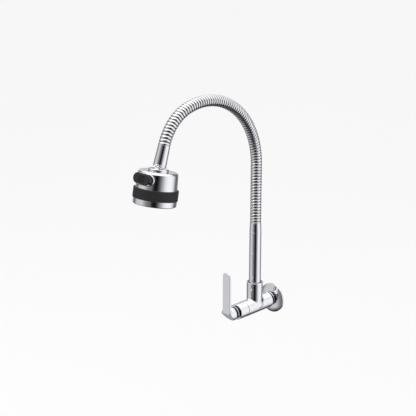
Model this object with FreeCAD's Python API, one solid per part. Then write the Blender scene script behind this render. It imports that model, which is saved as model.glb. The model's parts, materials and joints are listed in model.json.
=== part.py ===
import FreeCAD, Part
import math
import os

# Wall-mounted kitchen tap with a bendable gooseneck spout and a two-mode spray head.
# Millimetres. Origin: the inlet axis where it crosses the wall. +Z up, +Y into the wall,
# -Y out into the room, +X to the right of someone facing the wall.
# Water runs in along the inlet (Y axis), through the quarter-turn cartridge, up the riser,
# round the gooseneck and out of the spray head.

V = FreeCAD.Vector

# ---- clearances ----
RUN_FIT = 0.05          # radial gap of a turning or sliding fit
JOIN_FIT = 0.05         # radial gap of pieces screwed or pushed together
FACE_GAP = 0.4          # gap between neighbouring pieces that don't touch
MOVE_GAP = 0.5          # gap round a moving piece that isn't a fit

# ---- inlet and wall flange ----
THREAD_R = 10.4775      # G 1/2 thread, 20.955 across its crests
THREAD_L = 14.0         # length that screws into the wall fitting
SHANK_R = 10.0          # plain part of the inlet nipple, on the room side of the wall
NIPPLE_BORE_R = 7.5
NIPPLE_IN_BODY = 10.0   # length screwed into the valve body
FLANGE_R = 24.0
FLANGE_RIM = 1.5        # height of the flange's straight edge
FLANGE_HEIGHT = 6.5
FLANGE_WALL = 1.5
FLANGE_BULGE = 0.72      # share of the dome's height reached half way in
FLANGE_SHOULDER = 1.0    # flat ring round the nipple, outside the flange's wall
FLANGE_LIP = 0.2         # gap between the wall and the dome's underside at the foot
FLANGE_FOOT = 2.5       # width of the flat ring that meets the wall
LOCK_RING_R = 11.7
LOCK_RING_W = 1.3
LOCK_RING_Y = -9.0
WASHER_T = 1.5
STRAINER_T = 1.0
STRAINER_HOLE_R = 0.9
STRAINER_PITCH = 2.6
STRAINER_EDGE = 1.0     # solid rim left outside the strainer's holes
STRAINER_ROWS = 2       # rows of holes on each side of the middle one
STRAINER_DEPTH = 1.0    # how far the strainer sits inside the nipple's wall end

# ---- valve body ----
RISER_Y = -45.0         # the riser's axis stands this far from the wall
BODY_R = 12.7
BODY_BACK = 31.0        # from the riser's axis back to the body's rear end
BODY_FRONT = 26.0       # from the riser's axis forward to the bonnet seam
BODY_EDGE = 0.6
CHAMBER_R = 9.6
SEAT_BACK = 9.0         # the valve seat, behind the riser's axis
SOCKET_RIM = 1.75       # socket wall outside the slip ring
SOCKET_TOP = 40.0       # height of the riser's socket above the inlet axis
SOCKET_FLOOR = 16.0
PORT_R = 6.0
SLIP_RING_T = 1.65      # slip ring's wall
SLIP_RING_H = 3.0
SLIP_RING_DEPTH = 0.6   # how far the slip ring sits below the socket's rim

# ---- cartridge and bonnet ----
BONNET_L = 18.1
BONNET_FRONT_WALL = 1.6
BONNET_BORE_R = 11.3
NECK_R = 9.7
NECK_END_GAP = 1.0      # between the cartridge's neck and the lever hub
NECK_RING_R = 10.8
NECK_RING_W = 1.2
NECK_RING_FROM_BONNET = 3.6
CART_FLANGE_R = 11.0
CART_FLANGE_T = 3.0
CAGE_R = 8.6
CAGE_BORE_R = 7.1
CAGE_L = 18.0
DISC_R = 7.0
DISC_T = 3.0
DISC_GAP = 0.02         # water film between the two ceramic discs
DISC_PORT_R = 1.7
DISC_PORT_OFFSET = 3.4  # a disc port's centre from the disc's axis
SEAL_T = 3.0
SEAL_BORE_R = 4.6
WINDOW_W = 6.0
WINDOW_L = 7.0
SPINDLE_R = 4.0
DRIVE_T = 4.0
TONGUE_W = 3.0
TONGUE_H = 1.5
WATER_SLOT_W = 2.4      # slot beside the drive plate's middle that lets water past
WATER_SLOT_RISE = 2.2
WATER_SLOT_FLOOR = 1.2
SPINDLE_RING_R = 0.9    # section radius of the spindle's O-rings
SPINDLE_RING_SHARES = (0.4, 0.6)    # stations of the O-rings along the bonnet
BONNET_RING_R = 0.75    # section radius of the bonnet's O-ring

# ---- lever ----
HUB_R = 11.0
HUB_GAP = 9.0           # from the bonnet's front to the hub's rear
HUB_L = 10.0
BLADE_T = 3.5
BLADE_W = 16.0
BLADE_TOP_W = 15.0
BLADE_TOP = 71.0        # lever's top above the inlet axis
BLADE_CORNER = 4.0
BLADE_EDGE = 0.7
HEEL_TOP = 3.0          # height where the front face ends and the slanted heel starts
HEEL_RUN = 12.0         # how far back the heel runs down to the hub's underside
GRUB_R = 1.5
GRUB_SOCKET_R = 0.7
GRUB_SOCKET_L = 4.4
GRUB_DEPTH = 3.1        # how far the screw sits inside the hub's underside, clear of the heel
GRUB_EDGE = 1.0         # hub left behind the screw's hole
SPINDLE_IN_HUB = 6.5     # stops short of the lever's slanted heel

# ---- riser ----
RISER_R = 9.5
RISER_WALL = 1.5
FOOT_BORE_R = 5.6
FOOT_SHANK = 20.0       # length of the riser's foot inside the socket
FOOT_SPIGOT = 12.0
O_RING_R = 1.2          # section radius of the riser's O-rings
O_RING_PITCH = 6.0
O_RING_FROM_BASE = 3.2  # first O-ring's height above the foot's base
CLIP_R = 0.8            # section radius of the retaining clip
CLIP_DROP = 1.6          # slip-ring heights from the foot's top down to the clip
CLIP_GAP = 6.0           # opening between the clip's ends
FERRULE_BASE = 124.0
FERRULE_L = 14.5
FERRULE_BORE_R = 4.6
FERRULE_SPIGOT = 12.0
FERRULE_RIM = 1.5       # straight stretch below the ferrule's taper
FERRULE_LIP = 2.0       # straight stretch above it

# ---- gooseneck ----
HOSE_R = 8.9
HOSE_BORE_R = 6.2
LINER_R = 5.9
LINER_BORE_R = 4.3
ARCH_SPRING = 233.5     # height where the straight rise ends
BACK_R = 116.0          # centreline radius of the arch's wall side and crown
BACK_SWEEP = 107.0
BACK_PIECES = 4
FRONT_R = 72.4          # centreline radius of the arch's falling side
FRONT_SWEEP = 54.4
FRONT_PIECES = 2
CUP_LIP = 2.2           # a segment's cup stops this far short of the hinge centre
LINER_STOP = 8.0        # a segment's liner stops this far short of the hinge centre

# ---- upper neck and ball joint ----
UPPER_NECK_L = 32.4
UPPER_NECK_TOP_R = 8.7
UPPER_NECK_R = 9.6
FOOT_RING_R = 9.9
FOOT_RING_H = 3.0
NECK_GROOVE_D = 0.4
NECK_GROOVE_H = 0.6
FOOT_CHAMFER = 1.5
NECK_CLEARANCE = 0.755  # from where the ball meets its stem to the neck's end
BALL_R = 8.0
STEM_R = 5.0
STEM_BORE_R = 2.8
STEM_L = 18.0           # from the ball's centre to the underside of the stem's collar
STEM_COLLAR_R = 6.6
STEM_COLLAR_T = 2.0
STEM_CHAMBER_R = 7.0
STEM_CHAMBER_L = 14.0
STEM_RING_R = 0.8
STEM_RING_RISE = 5.0    # the stem's O-ring above the neck's end

# ---- spray head: heights run down from the ball's centre ----
HEAD_TILT = 10.5        # lean of the head's axis from vertical, top towards the wall
NUT_R = 14.8
NUT_TOP = -5.5
NUT_LIP_R = 7.2
NUT_DISH = 1.9          # depth of the dished mouth that clears the neck's foot
NUT_MOUTH_R = 12.6
NUT_THREAD_R = 12.0
NUT_EDGE = 0.8
BALL_SHOWS = 1.0        # the ball's underside would stand this far below the nut
SEAT_H = 3.2
SEAT_BORE_R = 3.6
HEAD_TOP = -2.2
HEAD_TOP_R = 29.0
HEAD_CORNER = 4.2
HEAD_BAND_R = 30.0
HEAD_WALL = 2.2
BAND_TOP = 22.8
BAND_H = 15.0
BAND_R = 32.5
BAND_SEAT = 0.8         # the shell steps in this far under the band
BAND_EDGE = 0.8
FOOT_R = 31.5
FOOT_H = 8.8
FOOT_EDGE = 3.0
FOOT_WALL = 4.0
LEDGE_W = 2.0           # inside ledge that the spray plate seats against
LEDGE_H = 1.5
GASKET_T = 1.2          # thickness of the soft nozzle mat
MAT_INSET = 3.0         # mat edge inside the bottom ring
PLATE_INSET = 1.6
PLATE_T = 3.0
NOZZLE_R = 0.9
NOZZLE_H = 1.2
NOZZLE_RINGS = (13.5, 17.8, 22.1)
NOZZLE_PITCH = 5.2
AERATOR_R = 8.5
AERATOR_T = 4.2
AERATOR_WALL = 1.2
AERATOR_SLOTS = 8
AERATOR_SLOT_W = 1.0
AERATOR_SLOT_START = 1.6
AERATOR_SLOT_L = 5.1
MANIFOLD_R = 9.0
MANIFOLD_BORE_R = 3.4
SPREADER_H = 4.0        # height of the cone that spreads the spray's water
SPREADER_INSET = 4.0    # cone's rim inside the bottom ring's bore
TOWER_R = 4.9
TOWER_OFFSET = 15.5     # the diverter spool's axis, in front of the head's axis
TOWER_TOP = 4.5
TOWER_L = 20.0
TOWER_FLOOR = 2.0
WEB_W = 5.0             # web that joins the tower to the manifold's column
WEB_TOP = 8.0
SPOOL_R = 3.2
SPOOL_L = 14.0
SPOOL_RING_R = 0.7
SPOOL_RING_INSET = 2.0  # an O-ring's middle from the spool's end

# ---- mode switch ----
SWITCH_W = 33.0
SWITCH_H = 15.0
SWITCH_DROP = 9.2       # its middle below the ball's centre
SWITCH_FACE = 32.2      # its front face, in front of the head's axis
SWITCH_T = 3.2
SWITCH_TILT = 5.0       # it rests this far one way and rocks as far the other
BEZEL_RIM = 1.5
BEZEL_FACE = 31.0
BEZEL_BACK = 20.5
BEZEL_EDGE = 0.5
BEZEL_DEPTH = 2.2       # room behind the rocker's plate
ROCKER_EDGE = 0.8
RIB_COUNT = 5
RIB_PITCH = 2.2
RIB_R = 0.7
RIB_L = 11.0
PIVOT_DEPTH = 26.0      # the pivot pin's axis, in front of the head's axis
PIVOT_R = 1.0
PIVOT_L = 24.0
PIVOT_SEAT = 0.02       # radial gap of the pin in the bezel
PIVOT_END = 0.1         # gap at each end of the pin
BOSS_W = 8.0
BOSS_R = 2.6
PEG_R = 1.1
PEG_START = 0.8         # web between the pivot pin and the peg
WAIST_FIT = 0.35        # the peg's play in the spool's waist
PEG_WINDOW_H = 10.0     # height of the window in the tower that the peg moves in
WELL_W = 12.0

# ---- sizes worked out from the ones above ----
BODY_REAR_Y = RISER_Y + BODY_BACK
BODY_FRONT_Y = RISER_Y - BODY_FRONT
SEAT_Y = RISER_Y + SEAT_BACK
BONNET_REAR_Y = BODY_FRONT_Y - FACE_GAP
BONNET_FRONT_Y = BONNET_REAR_Y - BONNET_L
HUB_REAR_Y = BONNET_FRONT_Y - HUB_GAP
HUB_FRONT_Y = HUB_REAR_Y - HUB_L
LEVER_FRONT_Y = HUB_FRONT_Y - BLADE_T
NECK_FRONT_Y = HUB_REAR_Y + NECK_END_GAP
SEAL_FRONT_Y = SEAT_Y - SEAL_T
FIXED_DISC_Y = SEAL_FRONT_Y - DISC_T
MOVING_REAR_Y = FIXED_DISC_Y - DISC_GAP
MOVING_DISC_Y = MOVING_REAR_Y - DISC_T
DRIVE_FRONT_Y = MOVING_DISC_Y - DRIVE_T
CAGE_FRONT_Y = DRIVE_FRONT_Y - RUN_FIT
SOCKET_BORE_R = RISER_R + RUN_FIT
SLIP_RING_R = SOCKET_BORE_R + SLIP_RING_T
SOCKET_R = SLIP_RING_R + JOIN_FIT + SOCKET_RIM
NECK_TO_BALL = math.sqrt(BALL_R ** 2 - STEM_R ** 2) + NECK_CLEARANCE
NUT_DEPTH = BALL_R - BALL_SHOWS
CARRIER_R = HEAD_BAND_R - BAND_SEAT
FOOT_TOP_Z = SOCKET_FLOOR + FACE_GAP + FOOT_SHANK
RISER_BORE_R = RISER_R - RISER_WALL
HOSE_BASE = FERRULE_BASE + FERRULE_L
BAND_BOTTOM = BAND_TOP + BAND_H
HEAD_BOTTOM = BAND_BOTTOM + FOOT_H
PLATE_BOTTOM = HEAD_BOTTOM - PLATE_INSET
PLATE_TOP = PLATE_BOTTOM - PLATE_T
MANIFOLD_TOP = NUT_DEPTH + FACE_GAP
PEG_REACH = PIVOT_DEPTH - TOWER_OFFSET


def cyl_y(radius, y0, y1, x=0.0, z=0.0):
    """Cylinder along Y between two stations."""
    return Part.makeCylinder(radius, abs(y1 - y0), V(x, min(y0, y1), z), V(0, 1, 0))


def cyl_z(radius, z0, z1, x=0.0, y=0.0):
    """Cylinder along Z between two heights."""
    return Part.makeCylinder(radius, abs(z1 - z0), V(x, y, min(z0, z1)), V(0, 0, 1))


def tube_y(outer, inner, y0, y1):
    return cyl_y(outer, y0, y1).cut(cyl_y(inner, y0 - 1.0, y1 + 1.0) if y0 < y1
                                    else cyl_y(inner, y0 + 1.0, y1 - 1.0))


def tube_z(outer, inner, z0, z1):
    return cyl_z(outer, z0, z1).cut(cyl_z(inner, min(z0, z1) - 1.0, max(z0, z1) + 1.0))


def revolved_y(outline):
    """Turn a closed (radius, y) outline about the Y axis."""
    points = [V(r, y, 0) for r, y in outline]
    face = Part.Face(Part.makePolygon(points + points[:1]))
    return face.revolve(V(0, 0, 0), V(0, 1, 0), 360)


def revolved_z(outline):
    """Turn a closed (radius, z) outline about the Z axis."""
    points = [V(r, 0, z) for r, z in outline]
    face = Part.Face(Part.makePolygon(points + points[:1]))
    return face.revolve(V(0, 0, 0), V(0, 0, 1), 360)


def torus_y(radius, section, y):
    return Part.makeTorus(radius, section, V(0, y, 0), V(0, 1, 0))


def torus_z(radius, section, z, x=0.0, y=0.0):
    return Part.makeTorus(radius, section, V(x, y, z), V(0, 0, 1))


def at_riser(shape):
    """Move a shape built about the Z axis to the riser's axis."""
    shape.translate(V(0, RISER_Y, 0))
    return shape


def tilted(shape, lean, centre):
    """Lean a shape built about the Z axis, top towards the wall, and move it to a centre."""
    shape.rotate(V(0, 0, 0), V(1, 0, 0), -lean)
    shape.translate(centre)
    return shape


def circle_edges(shape, radius, station, axis):
    """Edges that are circles of one radius in the plane across an axis at a station."""
    found = []
    for edge in shape.Edges:
        curve = edge.Curve
        if not isinstance(curve, Part.Circle):
            continue
        place = {"y": curve.Center.y, "z": curve.Center.z}[axis]
        if abs(curve.Radius - radius) < 1e-4 and abs(place - station) < 1e-4:
            found.append(edge)
    return found


def pill(width, height, y0, y1, z):
    """Rounded-end bar, wide along X and tall along Z, between two Y stations."""
    half = (width - height) / 2.0
    bar = Part.makeBox(2 * half, abs(y1 - y0), height, V(-half, min(y0, y1), z - height / 2.0))
    for side in (-1, 1):
        bar = bar.fuse(cyl_y(height / 2.0, y0, y1, x=side * half, z=z))
    return bar.removeSplitter()


# ---- inlet ----

def wall_flange():
    inner = THREAD_R + JOIN_FIT
    crown = -FLANGE_HEIGHT
    shoulder_r = inner + FLANGE_WALL + FLANGE_SHOULDER
    outline = Part.makePolygon([V(FLANGE_R - FLANGE_FOOT, 0, 0), V(FLANGE_R, 0, 0),
                                V(FLANGE_R, -FLANGE_RIM, 0)])
    mid_r = (FLANGE_R + shoulder_r) / 2.0
    bulge = FLANGE_BULGE * (crown + FLANGE_RIM) - FLANGE_RIM
    dome = Part.Arc(V(FLANGE_R, -FLANGE_RIM, 0), V(mid_r, bulge, 0), V(shoulder_r, crown, 0)).toShape()
    under = Part.Arc(V(shoulder_r, crown + FLANGE_WALL, 0), V(mid_r, bulge + FLANGE_WALL, 0),
                     V(FLANGE_R - FLANGE_FOOT, -FLANGE_LIP, 0)).toShape()
    lip = Part.makePolygon([V(shoulder_r, crown, 0), V(inner, crown, 0),
                            V(inner, crown + FLANGE_WALL, 0), V(shoulder_r, crown + FLANGE_WALL, 0)])
    close = Part.makePolygon([V(FLANGE_R - FLANGE_FOOT, -FLANGE_LIP, 0), V(FLANGE_R - FLANGE_FOOT, 0, 0)])
    wire = Part.Wire(Part.__sortEdges__(outline.Edges + dome.Edges + lip.Edges + under.Edges + close.Edges))
    return Part.Face(wire).revolve(V(0, 0, 0), V(0, 1, 0), 360)


def inlet_nipple():
    """Threaded into the wall fitting, plain on the room side."""
    nipple = cyl_y(THREAD_R, THREAD_L, 0).fuse(cyl_y(SHANK_R, 0, BODY_REAR_Y - NIPPLE_IN_BODY))
    return nipple.cut(cyl_y(NIPPLE_BORE_R, THREAD_L + 1, BODY_REAR_Y - NIPPLE_IN_BODY - 1))


def inlet_lock_ring():
    half = LOCK_RING_W / 2
    return tube_y(LOCK_RING_R, SHANK_R + JOIN_FIT, LOCK_RING_Y - half, LOCK_RING_Y + half)


def inlet_washer():
    rear = BODY_REAR_Y - NIPPLE_IN_BODY
    return tube_y(SHANK_R, NIPPLE_BORE_R, rear, rear - WASHER_T)


def inlet_strainer():
    """Perforated disc just inside the nipple's wall end."""
    y1 = THREAD_L - STRAINER_DEPTH
    y0 = y1 - STRAINER_T
    disc = cyl_y(NIPPLE_BORE_R - JOIN_FIT, y0, y1)
    reach = NIPPLE_BORE_R - STRAINER_HOLE_R - STRAINER_EDGE
    holes = []
    for row in range(-STRAINER_ROWS, STRAINER_ROWS + 1):
        for column in range(-STRAINER_ROWS, STRAINER_ROWS + 1):
            x = (column + 0.5 * (row % 2)) * STRAINER_PITCH
            z = row * STRAINER_PITCH * math.sin(math.radians(60))
            if math.hypot(x, z) < reach:
                holes.append(cyl_y(STRAINER_HOLE_R, y0 - 1, y1 + 1, x=x, z=z))
    return disc.cut(holes)


# ---- valve ----

def valve_body():
    barrel = cyl_y(BODY_R, BODY_FRONT_Y, BODY_REAR_Y)
    socket = at_riser(cyl_z(SOCKET_R, 0, SOCKET_TOP))
    body = barrel.fuse(socket).removeSplitter()
    rims = circle_edges(body, BODY_R, BODY_REAR_Y, "y") + circle_edges(body, SOCKET_R, SOCKET_TOP, "z")
    body = body.makeChamfer(BODY_EDGE, rims)
    washer_end = BODY_REAR_Y - NIPPLE_IN_BODY - WASHER_T
    body = body.cut(cyl_y(SHANK_R + JOIN_FIT, washer_end, BODY_REAR_Y + 1))
    body = body.cut(cyl_y(NIPPLE_BORE_R, SEAT_Y - 1, BODY_REAR_Y))
    body = body.cut(cyl_y(CHAMBER_R, BODY_FRONT_Y - 1, SEAT_Y))
    body = body.cut(at_riser(cyl_z(PORT_R, 0, SOCKET_FLOOR + 1)))
    body = body.cut(at_riser(cyl_z(SOCKET_BORE_R, SOCKET_FLOOR, SOCKET_TOP + 1)))
    ring_top = SOCKET_TOP - SLIP_RING_DEPTH
    body = body.cut(at_riser(cyl_z(SLIP_RING_R + JOIN_FIT, ring_top - SLIP_RING_H, SOCKET_TOP + 1)))
    groove = clip_height()
    body = body.cut(at_riser(torus_z(RISER_R, CLIP_R + MOVE_GAP, groove)))
    return body


def clip_height():
    """Height of the clip that keeps the riser in its socket."""
    return FOOT_TOP_Z - CLIP_DROP * SLIP_RING_H


def riser_slip_ring():
    top = SOCKET_TOP - SLIP_RING_DEPTH
    return at_riser(tube_z(SLIP_RING_R, SOCKET_BORE_R, top - SLIP_RING_H, top))


def bonnet_sleeve():
    bonnet = cyl_y(BODY_R, BONNET_FRONT_Y, BONNET_REAR_Y)
    bonnet = bonnet.makeChamfer(BODY_EDGE, circle_edges(bonnet, BODY_R, BONNET_FRONT_Y, "y"))
    bonnet = bonnet.cut(cyl_y(BONNET_BORE_R, BONNET_FRONT_Y + BONNET_FRONT_WALL, BONNET_REAR_Y + 1))
    return bonnet.cut(cyl_y(NECK_R + JOIN_FIT, BONNET_FRONT_Y - 1, BONNET_REAR_Y))


def cartridge_housing():
    """Brass headwork: disc cage, thread, clamping flange and the neck in front of the bonnet."""
    flange_front = BODY_FRONT_Y - CART_FLANGE_T
    thread_r = CHAMBER_R - JOIN_FIT
    outline = [(CAGE_R, SEAL_FRONT_Y), (CAGE_R, SEAL_FRONT_Y - CAGE_L),
               (thread_r, SEAL_FRONT_Y - CAGE_L), (thread_r, BODY_FRONT_Y),
               (CART_FLANGE_R, BODY_FRONT_Y), (CART_FLANGE_R, flange_front),
               (NECK_R, flange_front), (NECK_R, NECK_FRONT_Y),
               (SPINDLE_R + RUN_FIT, NECK_FRONT_Y), (SPINDLE_R + RUN_FIT, CAGE_FRONT_Y),
               (CAGE_BORE_R, CAGE_FRONT_Y), (CAGE_BORE_R, SEAL_FRONT_Y)]
    housing = revolved_y(outline)
    middle = (MOVING_DISC_Y + CAGE_FRONT_Y) / 2.0
    for turn in (0, 180):
        slot = Part.makeBox(2 * CAGE_R, WINDOW_L, WINDOW_W, V(0, middle - WINDOW_L / 2, -WINDOW_W / 2))
        slot.rotate(V(0, 0, 0), V(0, 1, 0), turn)
        housing = housing.cut(slot.cut(cyl_y(DISC_R, middle - WINDOW_L, middle + WINDOW_L)))
    for station in spindle_ring_stations():
        housing = housing.cut(torus_y(SPINDLE_R + SPINDLE_RING_R, SPINDLE_RING_R, station))
    return housing


def spindle_ring_stations():
    span = BONNET_FRONT_Y - BONNET_REAR_Y
    return [BONNET_REAR_Y + share * span for share in SPINDLE_RING_SHARES]


def neck_ring():
    y1 = BONNET_FRONT_Y - NECK_RING_FROM_BONNET
    return tube_y(NECK_RING_R, NECK_R + JOIN_FIT, y1, y1 - NECK_RING_W)


def bonnet_o_ring():
    return torus_y(NECK_R + BONNET_RING_R + JOIN_FIT, BONNET_RING_R,
                   BODY_FRONT_Y - CART_FLANGE_T - BONNET_RING_R - JOIN_FIT)


def seat_seal():
    return tube_y(CAGE_R, SEAL_BORE_R, SEAT_Y, SEAL_FRONT_Y)


def disc_ports(y0, y1):
    """Two opposite openings through a ceramic disc."""
    ports = []
    for side in (-1, 1):
        ports.append(cyl_y(DISC_PORT_R, y0, y1, z=side * DISC_PORT_OFFSET))
    return ports


def fixed_disc():
    return cyl_y(DISC_R, FIXED_DISC_Y, SEAL_FRONT_Y).cut(disc_ports(FIXED_DISC_Y - 1, SEAL_FRONT_Y + 1))


def drive_tongue(width, y0, y1):
    """Bar across the moving disc's front that the spindle drives it by."""
    return Part.makeBox(2 * DISC_R, abs(y1 - y0), width, V(-DISC_R, min(y0, y1), -width / 2))


def moving_disc():
    disc = cyl_y(DISC_R, MOVING_DISC_Y, MOVING_REAR_Y)
    ports = disc_ports(MOVING_DISC_Y - 1, MOVING_REAR_Y + 1)
    for port in ports:
        port.rotate(V(0, 0, 0), V(0, 1, 0), 90)
    slot = drive_tongue(TONGUE_W, MOVING_DISC_Y, MOVING_DISC_Y + TONGUE_H)
    return disc.cut(ports + [slot])


def spindle():
    plate = cyl_y(DISC_R, DRIVE_FRONT_Y, MOVING_DISC_Y)
    tongue = drive_tongue(TONGUE_W - 2 * JOIN_FIT, MOVING_DISC_Y, MOVING_DISC_Y + TONGUE_H - JOIN_FIT)
    tongue = tongue.common(cyl_y(DISC_R - JOIN_FIT, MOVING_DISC_Y - 1, MOVING_DISC_Y + TONGUE_H))
    shaft = cyl_y(SPINDLE_R, HUB_REAR_Y - SPINDLE_IN_HUB, DRIVE_FRONT_Y)
    window = Part.makeBox(2 * DISC_R + 2, DRIVE_T - WATER_SLOT_FLOOR, WATER_SLOT_W,
                          V(-DISC_R - 1, DRIVE_FRONT_Y + WATER_SLOT_FLOOR, WATER_SLOT_RISE))
    plate = plate.cut(window)
    return plate.fuse([tongue, shaft]).removeSplitter()


def spindle_o_rings():
    rings = [torus_y(SPINDLE_R + SPINDLE_RING_R + RUN_FIT / 2, SPINDLE_RING_R - RUN_FIT / 2, station)
             for station in spindle_ring_stations()]
    return Part.makeCompound(rings)


# ---- lever ----

def lever_handle():
    """Round hub and flat upright blade in one casting, with a slanted heel under the blade."""
    hub = cyl_y(HUB_R, HUB_FRONT_Y, HUB_REAR_Y)
    hub = hub.makeChamfer(BODY_EDGE, circle_edges(hub, HUB_R, HUB_REAR_Y, "y"))
    low = -HUB_R
    half = BLADE_W / 2.0
    top_half = BLADE_TOP_W / 2.0
    points = [V(-half, LEVER_FRONT_Y, low), V(half, LEVER_FRONT_Y, low),
              V(top_half, LEVER_FRONT_Y, BLADE_TOP), V(-top_half, LEVER_FRONT_Y, BLADE_TOP)]
    blade = Part.Face(Part.makePolygon(points + points[:1])).extrude(V(0, BLADE_T, 0))
    corners = [edge for edge in blade.Edges
               if abs(edge.CenterOfMass.z - BLADE_TOP) < 1e-6
               and abs(abs(edge.CenterOfMass.x) - top_half) < 1e-6]
    blade = blade.makeFillet(BLADE_CORNER, corners)
    front = [edge for edge in blade.Edges
             if abs(edge.CenterOfMass.y - LEVER_FRONT_Y) < 1e-6 and edge.CenterOfMass.z > low + 1]
    blade = blade.makeFillet(BLADE_EDGE, front)
    lever = hub.fuse(blade).removeSplitter()
    reach = 3 * HUB_R
    drop = HEEL_TOP + HUB_R
    slope = drop / HEEL_RUN
    heel = [V(-reach, LEVER_FRONT_Y - reach, HEEL_TOP + slope * reach),
            V(-reach, LEVER_FRONT_Y + reach, HEEL_TOP - slope * reach),
            V(-reach, LEVER_FRONT_Y - reach, HEEL_TOP - slope * reach)]
    wedge = Part.Face(Part.makePolygon(heel + heel[:1])).extrude(V(2 * reach, 0, 0))
    lever = lever.cut(wedge)
    lever = lever.cut(cyl_y(SPINDLE_R + JOIN_FIT, HUB_REAR_Y + 1, HUB_REAR_Y - SPINDLE_IN_HUB))
    return lever.cut(cyl_z(GRUB_R + JOIN_FIT, -HUB_R - 1, -SPINDLE_R, y=grub_station()))


def grub_station():
    return HUB_REAR_Y - GRUB_R - GRUB_EDGE


def lever_grub_screw():
    tip = -SPINDLE_R
    screw = cyl_z(GRUB_R, -HUB_R + GRUB_DEPTH, tip, y=grub_station())
    return screw.cut(cyl_z(GRUB_SOCKET_R, -HUB_R, -HUB_R + GRUB_SOCKET_L, y=grub_station()))


# ---- riser ----

def o_ring_heights():
    first = SOCKET_FLOOR + FACE_GAP + O_RING_FROM_BASE
    return [first, first + O_RING_PITCH]


def riser_foot():
    """Brass insert that turns in the body's socket and carries the seals."""
    base = SOCKET_FLOOR + FACE_GAP
    foot = cyl_z(RISER_R, base, FOOT_TOP_Z)
    foot = foot.fuse(cyl_z(RISER_BORE_R - JOIN_FIT, FOOT_TOP_Z, FOOT_TOP_Z + FOOT_SPIGOT))
    foot = foot.cut(cyl_z(FOOT_BORE_R, base - 1, FOOT_TOP_Z + FOOT_SPIGOT + 1))
    for height in o_ring_heights():
        foot = foot.cut(tube_z(RISER_R + 1, RISER_R - 2 * O_RING_R - JOIN_FIT,
                               height - O_RING_R - JOIN_FIT, height + O_RING_R + JOIN_FIT))
    groove = clip_height()
    foot = foot.cut(torus_z(RISER_R, CLIP_R + JOIN_FIT, groove))
    return at_riser(foot)


def riser_o_rings():
    rings = [at_riser(torus_z(RISER_R - O_RING_R, O_RING_R, height)) for height in o_ring_heights()]
    return Part.makeCompound(rings)


def riser_clip():
    """Spring-wire ring with a gap, half in the foot's groove and half in the socket's."""
    clip = torus_z(RISER_R, CLIP_R, clip_height())
    gap = Part.makeBox(CLIP_GAP, 2 * RISER_R, CLIP_GAP, V(-CLIP_GAP / 2, 0, clip_height() - CLIP_GAP / 2))
    return at_riser(clip.cut(gap))


def riser_tube():
    return at_riser(tube_z(RISER_R, RISER_BORE_R, FOOT_TOP_Z, FERRULE_BASE))


def lower_ferrule():
    outline = [(FERRULE_BORE_R, FERRULE_BASE - FERRULE_SPIGOT),
               (RISER_BORE_R - JOIN_FIT, FERRULE_BASE - FERRULE_SPIGOT),
               (RISER_BORE_R - JOIN_FIT, FERRULE_BASE), (RISER_R, FERRULE_BASE),
               (RISER_R, FERRULE_BASE + FERRULE_RIM), (HOSE_R, HOSE_BASE - FERRULE_LIP),
               (HOSE_R, HOSE_BASE), (FERRULE_BORE_R, HOSE_BASE)]
    return at_riser(revolved_z(outline))


# ---- gooseneck ----

class Bend:
    """One circular stretch of the gooseneck's centreline, in the spout's plane."""

    def __init__(self, centre_y, centre_z, radius):
        self.y = centre_y
        self.z = centre_z
        self.radius = radius

    def point(self, angle):
        turn = math.radians(angle)
        return V(0, self.y + self.radius * math.cos(turn), self.z + self.radius * math.sin(turn))

    def heading(self, angle):
        turn = math.radians(angle)
        return V(0, -math.sin(turn), math.cos(turn))

    def arc_angle(self, length):
        return math.degrees(length / self.radius)

    def tube(self, outer, inner, start, end):
        """Bent tube between two angles of the bend."""
        return self.rod(outer, start, end).cut(self.rod(inner, start, end))

    def rod(self, radius, start, end):
        ring = Part.makeCircle(radius, self.point(start), self.heading(start))
        disc = Part.Face(Part.Wire(ring))
        return disc.revolve(V(0, self.y, self.z), V(1, 0, 0), end - start)


back_bend = Bend(RISER_Y - BACK_R, ARCH_SPRING, BACK_R)
handover = back_bend.point(BACK_SWEEP)
front_bend = Bend(handover.y - FRONT_R * math.cos(math.radians(BACK_SWEEP)),
                  handover.z - FRONT_R * math.sin(math.radians(BACK_SWEEP)), FRONT_R)
ARCH_END = BACK_SWEEP + FRONT_SWEEP


def arch_stations():
    """(bend, start angle, end angle) of every moving gooseneck segment, in order."""
    stations = []
    for number in range(BACK_PIECES):
        step = BACK_SWEEP / BACK_PIECES
        stations.append((back_bend, number * step, (number + 1) * step))
    for number in range(FRONT_PIECES):
        step = FRONT_SWEEP / FRONT_PIECES
        stations.append((front_bend, BACK_SWEEP + number * step, BACK_SWEEP + (number + 1) * step))
    return stations


def hose_nose(centre, heading):
    """Half ball with a through bore, at the lower end of a moving segment."""
    half = Part.makeSphere(HOSE_R, centre, heading, -90, 0, 360)
    bore = Part.makeCylinder(HOSE_BORE_R, 2 * HOSE_R, centre - heading * (2 * HOSE_R), heading)
    return half.cut(bore)


def hose_cup(centre, heading):
    """Ball-shaped hollow that the next segment's nose turns in."""
    return Part.makeSphere(HOSE_R + RUN_FIT, centre, heading)


def first_hose_segment():
    tube = at_riser(tube_z(HOSE_R, HOSE_BORE_R, HOSE_BASE, ARCH_SPRING - CUP_LIP))
    return tube.cut(hose_cup(V(0, RISER_Y, ARCH_SPRING), V(0, 0, 1)))


def first_flow_liner():
    return at_riser(tube_z(LINER_R, LINER_BORE_R, HOSE_BASE, ARCH_SPRING - LINER_STOP))


def moving_hose_segment(bend, start, end, last):
    stop = end if last else end - bend.arc_angle(CUP_LIP)
    tube = bend.tube(HOSE_R, HOSE_BORE_R, start, stop)
    tube = tube.fuse(hose_nose(bend.point(start), bend.heading(start)))
    if not last:
        tube = tube.cut(hose_cup(bend.point(end), bend.heading(end)))
    return tube


def moving_flow_liner(bend, start, end, last):
    stop = end if last else end - bend.arc_angle(LINER_STOP)
    return bend.tube(LINER_R, LINER_BORE_R, start, stop)


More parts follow.
